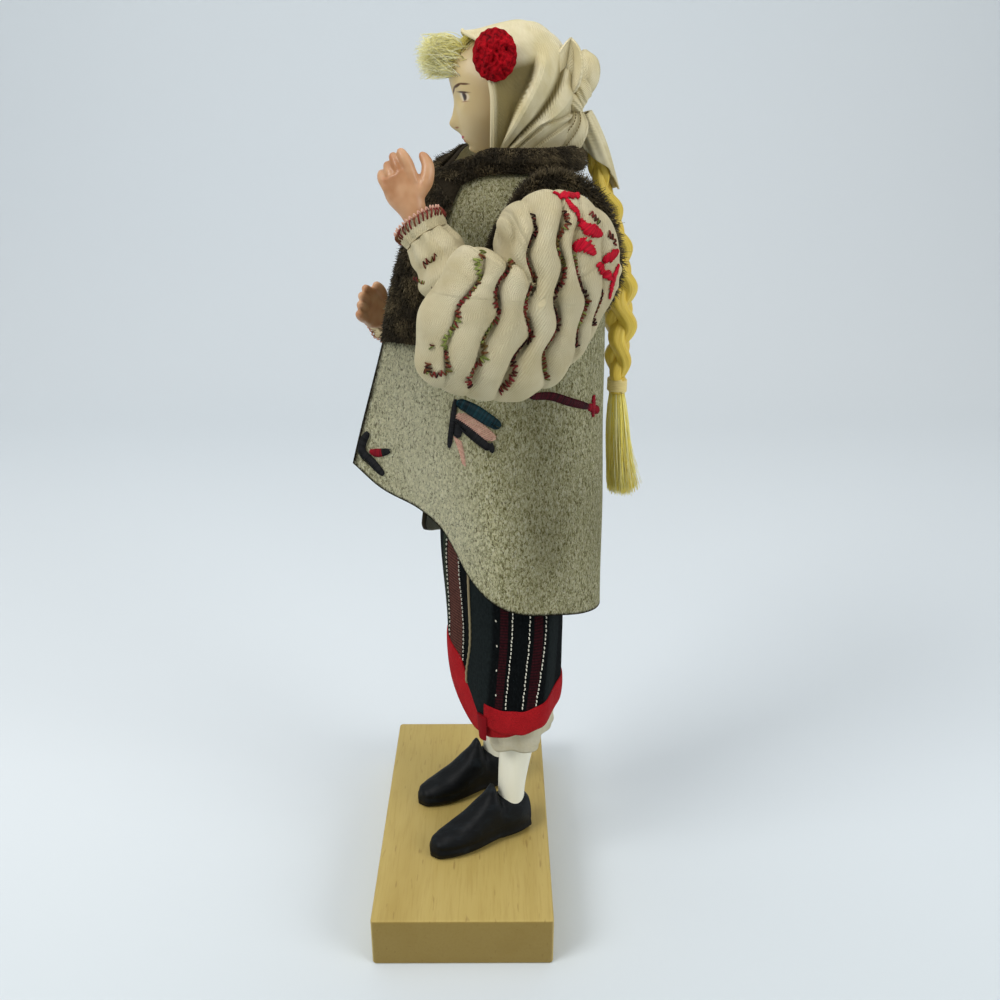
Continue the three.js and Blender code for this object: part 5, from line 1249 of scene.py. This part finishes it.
def hand(side):
    """Palm, four fingers and a thumb as tapered tubes, wrist at the origin and fingers up, then turned so
    that the fingers point along the hand's way with the thumb to its side."""
    way, thumb_side, thumb, bend = HAND[side]
    _, wrist, axis = forearm(side)
    up = unit(np.array(way, float))
    first = unit(np.array(thumb_side) - up * np.dot(up, thumb_side))
    turn = np.stack([first, np.cross(up, first), up])
    tip = lambda root, end: ((0, root), (0.35, root * 0.9), (0.5, root * 0.95),
                             (0.85, end), (0.94, end * 0.8), (1, end * 0.35))
    palm = tube(((0, 0, -1), (0, 0, 5), (-0.2, 0.2, 10), (-0.3, 0, 14)), PALM, (1, 0, 0), 30, 40)
    parts = [palm]
    for k in (-1.5, -0.5, 0.5, 1.5):
        bx, by, rise = bend(k)
        reach = rise * (HAND_LENGTH - 12 - 0.9 * abs(k - 0.4))
        x = 2.45 * k
        line = ((x * 0.9, 0, 10), (x, 0, 12), (x * 1.05 + 0.2 * bx, 0.25 * by, 12 + 0.5 * reach),
                (x * 1.05 + bx, by, 12 + reach))
        parts.append(tube(line, (tip(1.7, 1.3),) * 2, (1, 0, 0), 40, 20))
    parts.append(tube(((0.5, 0, 4), *thumb), (tip(2.0, 1.45),) * 2, (0, 1, 0), 40, 20))
    stub = tube((wrist + axis * 0.4, wrist + axis * (CUFF_LENGTH + 1)),
                (((0, WRIST_RADIUS), (1, WRIST_RADIUS)),) * 2, (1, 0, 0.2), 8, 40)
    placed = [part @ turn + wrist + axis * CUFF_LENGTH for part in parts] + [stub]
    return merged(side + "_hand_moulded", *(skin("part", figure(part), True, (0, -1)) for part in placed))


flesh, tree, shader = finish("flesh_enamel", 0.42, gloss=0.4, Subsurface_Weight=0.12, Subsurface_Scale=0.002,
                             Coat_Weight=0.1)
shader.inputs["Subsurface Radius"].default_value = (1.0, 0.4, 0.25)
where = coords(tree)
blush = grain(tree, where, 160)
paint(tree, shader, band(tree, blush, (0.3, (172, 118, 77)), (0.5, (193, 146, 106)), (0.7, (206, 163, 126))))
relief(tree, shader, grain(tree, where, 700, detail=3), 0.00015, 0.4)
for side in HAND:
    piece = hand(side)
    shape = piece.modifiers.new("moulded", "REMESH")
    shape.mode, shape.voxel_size, shape.use_smooth_shade = "VOXEL", 0.00033, True
    soft = piece.modifiers.new("softened", "SMOOTH")
    soft.factor, soft.iterations = 0.5, 6
    fit(piece, flesh, side + "_hand", "flesh", side + "_hand")

# Head: a moulded head with a long neck, in ivory enamel, on the neck's peg; brows, eyes and lips are painted
# on with a fine brush.
HEAD = np.array([0, 0.6, 249.0])
HEAD_HALF, HEAD_BACK = (12.2, 16, 16.6), 12.8
FACE_BUMPS = ((-2.6, 0, 40, 28, 24), (-0.8, 0, 14, -44, 5), (-2.6, 0, 8, -27, 8), (-0.9, 0, 6.5, -16, 9),
              (-1.2, 0, 24, -62, 9), (1.1, 22, 10, -1, 7), (0.35, 0, 9, -44.5, 1.3), (0.4, 0, 16, -52, 3.5))
NECK_SIZE = (0, 7.4), (0.15, 6.9), (0.4, 6.4), (1, 6.2)


def on_head(points):
    """The head's own frame, turned a little against the body, brought to the stand."""
    return figure(turned(points, HEAD_TURN))


def head_spot(degrees, lift, out=0.0):
    """An egg with a narrower jaw and a flatter face; brow, nose, lips, chin and eye sockets are soft bumps in
    the angle from the front and the lift from the middle."""
    a, b = np.radians(degrees), np.radians(lift)
    c, s = np.cos(b), np.sin(b)
    bump = lambda x, middle, spread: np.exp(-((x - middle) / spread) ** 2)
    front = ease(np.cos(a), 0, 0.7)
    x = (HEAD_HALF[0] * (1 - 0.24 * ease(-s, 0.2, 0.95)) + out) * c * np.sin(a)
    depth = c + (c ** np.where(s < 0, 0.55, 0.3) - c) * front
    y = -(np.where(np.cos(a) < 0, HEAD_BACK, HEAD_HALF[1]) + out) * depth * np.cos(a)
    for back, aside, width, level, tall in FACE_BUMPS:
        y = y + back * bump(np.abs(degrees), aside, width) * bump(lift, level, tall)
    return HEAD + joined(x, y, (HEAD_HALF[2] + out) * s)


angle, lift = np.linspace(-180, 180, 361)[None], np.linspace(-86, 86, 240)[:, None]
skull = skin("skull", on_head(head_spot(angle[:, :-1], lift)), True, (0, -1),
             uv=joined(angle / 100, lift / 100))
neck = on_head(tube(((0, 0, 227.4), (0, 0, 233), (0, 1.5, 246)), (NECK_SIZE,) * 2, (1, 0, 0), 30, 60))
neck = skin("neck", neck, True, (0, -1), uv=np.full((30, 61, 2), 5.0))
head = merged("head_moulded", skull, neck)
enamel, tree, shader = finish("ivory_enamel", 0.4, gloss=0.4, Subsurface_Weight=0.1, Subsurface_Scale=0.002,
                              Coat_Weight=0.1)
shader.inputs["Subsurface Radius"].default_value = (1.0, 0.5, 0.3)
flat = coords(tree, "UV")
tone = mixed(tree, grain(tree, coords(tree), 130), (198, 174, 122), (213, 193, 147))
# Painted shade: the face darkens toward the back, by the kerchief's edge.
painted_shade_near_kerchief = ranged(tree, part(tree, coords(tree), "Y"), 0.001, 0.009, 0.0, 0.55)
tone = mixed(tree, painted_shade_near_kerchief, tone, (150, 121, 74))


def spot(tree, flat, middle, half, turn=0.0, soft=0.25):
    """A painted oval on the face: 1 inside, falling to 0 over its soft edge; middle and half are degrees."""
    placed = node(tree, "Mapping", {"Vector": flat, "Location": (middle[0] / 100, middle[1] / 100, 0),
                                    "Rotation": (0, 0, turn), "Scale": (half[0] / 100, half[1] / 100, 1)},
                  vector_type="TEXTURE").outputs[0]
    reach = node(tree, "VectorMath", {0: placed}, operation="LENGTH").outputs["Value"]
    return ranged(tree, reach, 1 - soft, 1 + soft, 1.0, 0.0)


FEATURES = (((30.5, 0.3), (10.5, 4.3), 0.0, 0.2, (222, 208, 180)),
            ((31.5, 0.4), (6.2, 4.0), 0.0, 0.2, (84, 56, 38)),
            ((31.5, 0.4), (3.4, 2.4), 0.0, 0.3, (26, 16, 12)),
            ((30.5, 4.5), (11.0, 1.0), -0.03, 0.4, (70, 44, 28)),
            ((31.0, -4.0), (8.5, 0.5), 0.03, 0.5, (160, 118, 84)),
            ((12.5, 6.6), (7.4, 1.1), 0.5, 0.35, (92, 60, 34)),
            ((24.0, 10.6), (7.8, 1.35), 0.25, 0.3, (84, 54, 30)),
            ((35.5, 12.0), (7.4, 0.95), -0.02, 0.35, (92, 60, 34)),
            ((5.0, -40.6), (7.5, 1.7), 0.1, 0.3, (170, 52, 66)),
            ((4.0, -44.6), (6.5, 1.9), -0.1, 0.3, (186, 70, 80)),
            ((7.5, -29.4), (2.2, 0.9), 0.2, 0.5, (158, 112, 76)))
for sign in (1, -1):
    for middle, half, slope, soft, colour in FEATURES:
        share = spot(tree, flat, (sign * middle[0], middle[1]), half, sign * slope, soft)
        tone = mixed(tree, share, tone, colour)
paint(tree, shader, tone)
fit(head, enamel, "head", "ivory_face", "head")

# Wig: a cap of yellow hair glued to the skull under the kerchief, and a soft tuft of pale fringe that comes
# out under the kerchief's edge and falls forward over the brow.
degrees, lift = np.meshgrid(np.linspace(80, 280, 90), np.linspace(-28, 80, 60), indexing="ij")
cap = head_spot(np.where(degrees > 180, degrees - 360, degrees), lift, 1.0 + 0.15 * np.sin(degrees))
cap = cloth_of("hair_cap_wig", on_head(cap))
backed(cap, 0.4)
hair, tree, shader = finish("yellow_hair", 0.42, gloss=0.4)
strand = grain(tree, coords(tree, "UV"), 2600, (1, 0.05, 1))
tone = mixed(tree, strand, (196, 156, 30), (244, 220, 100))
paint(tree, shader, mixed(tree, reckon(tree, "multiply", kept(tree, "tint"), 0.75), tone, (246, 233, 152)))
relief(tree, shader, strand, 0.0005, 0.6)
fit(cap, hair, "head", "hair", "hair_cap")

chance = np.random.default_rng(31)
count, lying = 1700, 900
spread = np.clip(chance.normal(0, 1, (count, 3)), -1.7, 1.7)
root = head_spot(chance.normal(0, 13, count), chance.uniform(18, 56, count), 0.3)
tip = np.array([-0.5, -25.4, 259.6]) + spread * np.array([3.4, 1.0, 3.4])
tip[:, 1] = tip[:, 1] + 0.7 * np.abs(spread[:, 2]) ** 1.7
middle = root + np.array([0, -3.4, 2.0]) + spread * np.array([1.2, 0.4, 1.6])
end = root + (tip - root) * chance.uniform(0.7, 1.03, (count, 1))
t = np.linspace(0, 1, 6)[None, :, None]
lock = root[:, None] * (1 - t) ** 2 + middle[:, None] * 2 * t * (1 - t) + end[:, None] * t ** 2
t = np.linspace(0, 1, 6)[None]
flat_hair = head_spot(chance.normal(0, 18, lying)[:, None] * (1 - 0.35 * t),
                      76 - chance.uniform(26, 36, lying)[:, None] * t,
                      chance.uniform(0.5, 1.1, lying)[:, None])
paths = np.concatenate([lock, flat_hair])
tints = np.concatenate([chance.uniform(0.25, 1, count), chance.uniform(0, 0.3, lying)])
pale, tree, shader = finish("pale_hair", 0.5, Sheen_Weight=1.0, Sheen_Roughness=0.5)
shader.inputs["Sheen Tint"].default_value = (*ink(255, 246, 170), 1)
paint(tree, shader, band(tree, kept(tree, "tint"), (0.0, (226, 206, 92)), (0.3, (250, 240, 148)),
                         (0.6, (253, 249, 190)), (1.0, (255, 254, 230))))
fringe = fibres("fringe_hair", on_head(paths), 0.00012, 0.3, tints)
fit(fringe, pale, "head", "pale_hair", "hair_fringe")

# Kerchief: a square of fine cream cotton folded to a triangle, laid over the head with a stiff turned edge
# at the face, drawn to the back in folds that fan out from the knot, and knotted there.
SCARF_HALF, SCARF_RISE, SCARF_BACK, KNOT = 15.8, 21.6, 17.0, 247.0
SCARF_FOLDS = (((230, -5.5), (239.3, -1.5), (245.4, 1.2), (250.5, 3.8), (254.3, 5.6), (257.6, 6.2),
                (262, 6.4)),
               ((230, -6), (239, 2.4), (243.6, 7.2), (247.5, 10.4), (250.5, 12.4), (254, 14), (262, 16)),
               ((230, -4), (240, 6.8), (241.8, 9.2), (243.6, 14.6), (246.5, 19.5), (262, 26)),
               ((230, -1), (238, 9.6), (240.4, 13), (242.9, 17.2), (246, 22), (262, 34)))
FOLD_PROFILE = ((-9, -1.0), (-1, -1.5), (0, -2.1), (0.06, 1.9), (0.2, 2.2), (0.7, 0.4), (1, -2.0), (1.1, 0.4),
                (1.4, 1.4), (2, -0.6), (2.06, 1.1), (2.5, 0.9), (3, -0.6), (3.1, 1.0), (6, 0.4))


def scarf_fold(y, z):
    """How far the cotton stands out at its place back and up, by the count of fold lines it is behind: hollow
    in front of the first, a step up at each and a slow fall to the next; over the crown it is smooth."""
    lines = [follow(line, z) for line in SCARF_FOLDS]
    count = np.clip((y - lines[-1]) / 6, 0, 3) - np.clip((lines[0] - y) / 6, 0, 9)
    count = count + sum(np.clip((y - a) / (b - a), 0, 1) for a, b in zip(lines, lines[1:]))
    crown = ease(z, 253.5 + 0.25 * np.abs(y), 258.5 + 0.25 * np.abs(y))
    return np.interp(count, *np.array(FOLD_PROFILE).T) * (1 - crown) + 0.3 * crown


def scarf(u, v, out=0.0):
    """Arches from the front edge back to the gathered end at the knot, each an oval arc open below, falling
    to the knot's height; the folds are laid on by where the cloth lies."""
    swing = v * np.pi / 2
    spread = 136 + 14 * ease(v, 0.1, 0.5) - 34 * ease(v, 0.6, 1)
    a = np.radians(spread * (1 - 2 * u))
    up = np.cos(a)
    front = -5.4 - 3.6 * ease(up, -0.1, 0.8) - 4.2 * ease(up, 0.75, 1)
    size = np.maximum(np.cos(swing) ** 0.5, 0.16) * (0.95 + 0.05 * ease(v, 0, 0.35))
    y = front + (SCARF_BACK - front) * np.sin(swing)
    drop = HEAD[2] + 0.6 + (KNOT - HEAD[2] - 0.6) * v * v
    fold = scarf_fold(y, drop + SCARF_RISE * size * up) * ease(v, 0.05, 0.2) * (1 - v ** 8)
    fold = fold + 0.16 * np.sin(0.9 * y + 13 * a) * ease(v, 0.15, 0.5) + out + 0.7
    x = (SCARF_HALF + fold) * size * np.sin(a)
    flat_front = 1 - 0.2 * (1 - ease(v, 0, 0.5)) * ease(up, 0.3, 1)
    rise = (SCARF_RISE + fold * ease(up, -0.6, 0.3)) * size * up * flat_front
    return joined(x, y + 0.8 * fold * np.sin(swing), drop + rise)


def leaf(stops, widths, side, cup, rows=40, cols=24):
    """A loop of cloth: a strip along a path, as wide as its stops say, cupped across."""
    t = np.linspace(0, 1, rows)
    path = through(stops, np.linspace(0, 1, len(stops)), t)
    way = unit(np.gradient(path, axis=0))
    across = unit(np.array(side, float) - way * (way @ np.array(side, float))[:, None])
    hollow = np.cross(across, way)
    w, half = np.linspace(-1, 1, cols)[None, :, None], follow(widths, t)[:, None, None]
    bend = cup * (w ** 2 - 0.5) + 0.08 * np.cos(9 * w)
    return path[:, None] + across[:, None] * half * w + hollow[:, None] * half * bend


kerchief, tree, shader = finish("kerchief_cotton", 0.9)
flat = coords(tree, "UV")
slant = node(tree, "Mapping", {"Vector": flat, "Rotation": (0, 0, 0.5)}).outputs[0]
threads = wave(tree, slant, 0.00042, 1.2)
tone = band(tree, grain(tree, flat, 120, detail=3), (0.3, (208, 195, 150)), (0.7, (234, 225, 192)))
tone = mixed(tree, veil(tree, threads, (0.1, 0.2), (0.6, 0)), tone, (192, 174, 124))
# Painted shade: the kept hollow value darkens the cotton to olive in the folds' hollows and behind the
# rosette.
paint(tree, shader, mixed(tree, kept(tree, "hollow"), tone, (122, 108, 62)))
relief(tree, shader, threads, 0.00016, 0.7)
u, v = shares(420, 240)
plain = scarf(u, v)
headscarf = cloth_of("kerchief_over_head", on_head(plain))
# Painted shade in the hollows between the folds, and a broad painted shadow on the side just behind the
# rosette.
deep = scarf_fold(plain[..., 1], plain[..., 2])
middle = np.exp(-((plain[..., 1] - 1) / 7) ** 2 - ((plain[..., 2] - 256) / 8) ** 2)
mark(headscarf, "hollow", np.clip(0.1 - 0.55 * deep + 0.36 * middle, 0, 0.9) * ease(v, 0.01, 0.05))
hemmed = on_head(scarf(np.linspace(0, 1, 160), np.zeros(160), -0.1))
edge = fibres("kerchief_edge", hemmed[None], 0.00055, 1.0, sides=8)
fit(edge, kerchief, "head", "kerchief")
BALL_SIZE = (0, 2.4), (0.3, 3.3), (0.7, 3.3), (1, 1.6)
NAPE = (((4.6, 0.6, -1), (7.2, 0.4, -5), (7.2, -2.0, -8.6), (5.8, -5.6, -12.4)),
        ((0, 1.6), (0.3, 3.4), (0.65, 4.7), (1, 4.8)), (0.2, 1, -0.45), 0.35)
KNOT_LEAVES = ((((6.0, -4.6, 1.5), (8.6, -2.8, 7.5), (8.2, -2.0, 12.5), (6.6, -1.8, 17.4)),
                ((0, 1.6), (0.3, 4.3), (0.65, 3.7), (0.9, 1.5), (1, 0.2)), (0.25, 1, 0.05), 1.0),
               (((0.4, 1.4, 1), (0.6, 2.6, 6), (-0.4, 3.0, 11), (-1.4, 2.8, 14.6)),
                ((0, 1.4), (0.4, 4.0), (0.75, 3.4), (1, 0.8)), (0.5, 0.95, 0.25), -0.9),
               (((2.5, -1.0, 5), (5.0, 0.8, 4.6), (5.2, 2.2, 1.4), (3.4, 1.6, -1.4)),
                ((0, 1.4), (0.4, 2.8), (0.8, 2.2), (1, 1.0)), (0.2, 0.4, 1), 0.9),
               (((4.0, -4.2, 2.5), (6.2, -1.6, 1.4), (6.0, 0.8, -0.6), (4.4, 2.2, -2.4)),
                ((0, 1.2), (0.4, 1.9), (0.8, 1.6), (1, 0.5)), (0.1, 0.5, 1), 0.8),
               NAPE)
knot_at = np.array([0, SCARF_BACK + 1.6, KNOT])
ball = on_head(tube([knot_at + (2, k, 1.5) for k in (-3, 0, 3)], (BALL_SIZE,) * 2, (1, 0, 0), 30, 48,
                    0.35 * np.cos(5 * once_round(48))[None]))
knot = merged("kerchief_knot", cloth_of("ball", ball, True, (0, -1)),
              *(cloth_of("leaf", on_head(leaf(knot_at + stops, *rest))) for stops, *rest in KNOT_LEAVES))
backed(knot, 0.7)
fit(knot, kerchief, "head", "kerchief", "scarf_knot")
backed(headscarf, 0.7)
fit(headscarf, kerchief, "head", "kerchief", "headscarf")
nape, rows = leaf(knot_at + NAPE[0], *NAPE[1:], 60, 25), []
for column in (9, 15):
    line = nape[4:, column]
    up = np.cross(nape[4:, column + 1] - line, np.gradient(line, axis=0))
    up = unit(up * np.sign(up[:, :1]))
    spots, up, way, _ = evenly(line + 0.15 * up, up, 0.95)
    rows.append(arched(spots, spots + way * 0.55, up * 0.2))
hem_stitches = fibres("kerchief_stitches", on_head(np.concatenate(rows)), 0.00014, 1.0, sides=4)
fit(hem_stitches, finish("tan_thread", 0.8, (140, 122, 80))[0], "head", "tie_thread")

# Rosette: a round of crinkled crimson crepe, drawn up into a low dome and scalloped at its edge, pinned to
# the kerchief at the temple.
FLOWER, FLOWER_RADIUS = np.array([15.8, -4.6, 259.5]), 6.1
a, s = once_round(160)[None], np.linspace(0.02, 1, 60)[:, None]
lumps = chance.uniform(-1, 1, (150, 2))
lumps = lumps[np.hypot(*lumps.T) < 1]
p, q = s * np.cos(a), s * np.sin(a)
way = chance.uniform(0, np.pi, len(lumps))
crinkle = sum(side * np.exp(-((p - x) * np.cos(w) + (q - z) * np.sin(w)) ** 2 / 0.004
                            - ((q - z) * np.cos(w) - (p - x) * np.sin(w)) ** 2 / 0.018)
              for (x, z), w, side in zip(lumps, way, np.tile([1, -0.9], 75)))
scallop = 1 + 0.016 * np.cos(17 * a + 0.8 * np.sin(3 * a)) * s ** 4
dome = 2.6 * (1 - s ** 3.2) + 0.6 + 0.62 * crinkle * (1 - 0.3 * s)
dome = dome + 0.1 * np.cos(17 * a) * s ** 3 - np.exp(-(s / 0.16) ** 2)
face = joined(dome, FLOWER_RADIUS * scallop * p, 1.1 * FLOWER_RADIUS * scallop * q)
under = face[-1:] * np.array([0, 0.96, 0.96]) + np.array([-0.4, 0, 0])
petals = turned(np.concatenate([face, under]), -10) + FLOWER
rosette = skin("crepe_rosette", on_head(petals), True, (0, -1))
crepe, tree, shader = finish("crimson_crepe", 0.8, gloss=0.1)
where = coords(tree)
crepe_fold = grain(tree, where, 700, (1, 1, 1), 4, 0.6, 0.8)
paint(tree, shader, band(tree, crepe_fold, (0.3, (76, 0, 6)), (0.5, (150, 4, 18)), (0.7, (188, 12, 28))))
relief(tree, shader, crepe_fold, 0.0009, 0.8)
fit(rosette, crepe, "head", "crimson", "flower")

# Plait: three hanks of yellow hair plaited from under the knot down the back, whipped with pale thread, and
# below it a loose brush of hair cut ragged.
BRAID = ((6.8, 20.8, 241.2), (5.8, 24.8, 234), (4.4, 28.6, 224), (2.9, 33.4, 212), (2.2, 36.8, 198),
         (2, 38, 182), (1.7, 38, 170), (1.6, 38, 162.8))
BRAID_SIZE = (0, 2), (0.1, 2.5), (0.22, 3.7), (0.5, 5), (0.85, 5.2), (1, 3.4)
LAY = 38.0


def along_braid(t):
    """The plait's middle at its share of the length, with its direction and the doll's sideways to it."""
    run = run_along(np.array(BRAID))
    path = lambda s: through(BRAID, run / run[-1], s)
    way = unit(path(np.clip(t + 0.005, 0, 1)) - path(np.clip(t - 0.005, 0, 1)))
    across = unit(np.array([1.0, 0, 0]) - way * way[..., :1])
    return path(t), across, np.cross(way, across), run[-1]


t = np.linspace(0, 1, 260)
middle, across, back, length = along_braid(t)
size = follow(BRAID_SIZE, t)[:, None]
hanks = []
for k in range(3):
    phase = 2 * np.pi * (t * length / LAY + k / 3)[:, None]
    path = middle + across * 0.5 * size * np.sin(phase) + back * 0.36 * size * np.sin(2 * phase)
    a = once_round(36)[None, :, None]
    groove = 1 + 0.05 * np.cos(6 * a + 0.6 * phase[:, None])
    spokes = np.cos(a) * across[:, None] + np.sin(a) * back[:, None] * 0.92
    hank = path[:, None] + size[:, None] * 0.56 * groove * spokes
    flat = joined(np.linspace(0, 0.02, 37), t[:, None] * 0.09)
    hanks.append(skin("hank", figure(hank), True, (0, -1), uv=flat))
plait = merged("plaited_hair", *hanks)
fit(plait, hair, "braid", "hair", "braid")
WHIP_AT, WHIP_HALF, WHIP_TURNS = (1.6, 38), (3.15, 2.75), 7
WHIP_LOW, WHIP_LENGTH, BRUSH_TOP, BRUSH_LOW = 158.7, 3.9, 159, 122.2
t = np.linspace(0, 1, 220)
turn = t * WHIP_TURNS * 2 * np.pi
coil = joined(WHIP_AT[0] + WHIP_HALF[0] * np.cos(turn), WHIP_AT[1] + WHIP_HALF[1] * np.sin(turn),
              WHIP_LOW + WHIP_LENGTH * t)
tie = fibres("plait_whipping", figure(coil)[None], 0.0005, 1.0, np.array([1.0]), 8)
WHIPPED_SIZE = ((0, 3.0), (1, 3.0)), ((0, 2.6), (1, 2.6))
core = figure(tube(((*WHIP_AT, 158), (*WHIP_AT, 163.2)), WHIPPED_SIZE, (1, 0, 0), 8, 40))
fit(cloth_of("plait_neck", core, True, (0, -1)), hair, "braid", "hair")
fit(tie, finish("tie_thread", 0.7, (226, 206, 140))[0], "braid", "tie_thread", "braid_tie")
chance = np.random.default_rng(41)
count = 2300
turn, spread = chance.uniform(0, 2 * np.pi, count), np.sqrt(chance.uniform(0, 1, count))
end = BRUSH_LOW + 9 * (1 - chance.beta(3, 1.3, count))
s = np.linspace(0, 1, 7)[None]
r = follow(((0, 2.7), (0.25, 4.2), (0.7, 4.7), (1, 4.4)), s) * spread[:, None]
wander = chance.normal(0, 1.0, (count, 1)) * s ** 2
x = WHIP_AT[0] + 0.6 * s + r * np.cos(turn)[:, None] + wander
y = WHIP_AT[1] + 1.4 * s + 0.8 * r * np.sin(turn)[:, None]
y = y + np.abs(chance.normal(0, 1.9, (count, 1))) * s ** 2.2
z = BRUSH_TOP + (end[:, None] - BRUSH_TOP) * s
brush = fibres("plait_end", figure(joined(x, y, z)), 0.00017, 0.35, chance.uniform(0, 1, count))
loose, tree, shader = finish("loose_hair", 0.45, gloss=0.3, Sheen_Weight=0.7, Sheen_Roughness=0.5)
shader.inputs["Sheen Tint"].default_value = (*ink(255, 236, 120), 1)
paint(tree, shader, band(tree, kept(tree, "tint"), (0.0, (244, 216, 70)), (0.5, (255, 240, 122)),
                         (1.0, (255, 252, 200))))
fit(brush, loose, "braid", "hair", "braid_tassel")
HEART_SIZE = ((0, 2.3), (0.25, 3.5), (0.8, 3.7), (1, 2.6)), ((0, 1.9), (0.25, 2.8), (0.8, 3.0), (1, 2.0))
heart = figure(tube(((1.6, 38, 159.5), (1.9, 38.6, 145), (2.2, 39.3, 129)), HEART_SIZE, (1, 0, 0), 30, 40))
fit(skin("plait_end_heart", heart, True, (0, -1)), loose, "braid", "hair")

# Kerchief's tail: the corner of the kerchief that comes from under the knot, wraps the top of the plait and
# ends in a point on its back.
TAIL = (7.0, 20.0, 244.6), (6.7, 21.6, 240.6), (5.8, 24.9, 234), (4.8, 28, 226.5), (4.2, 29.6, 222)
u, v = shares(90, 80)
middle = through(TAIL, (0, 0.22, 0.52, 0.84, 1), v)
a = np.radians((165 - 130 * ease(v, 0.3, 1)) * (1 - 2 * u))
r = follow(((0, 2.5), (0.2, 3.4), (0.5, 3.9), (1, 4.3)), v)
r = r + 0.3 * np.cos(4 * a) + 0.18 * np.sin(9 * a + 3 * v)
tail = figure(middle + joined(1.15 * r * np.sin(a), r * np.cos(a), 0.35 * r * np.cos(a)))
tail = cloth_of("kerchief_tail", tail)
backed(tail, 0.5)
fit(tail, kerchief, "braid", "kerchief", "scarf_tail")
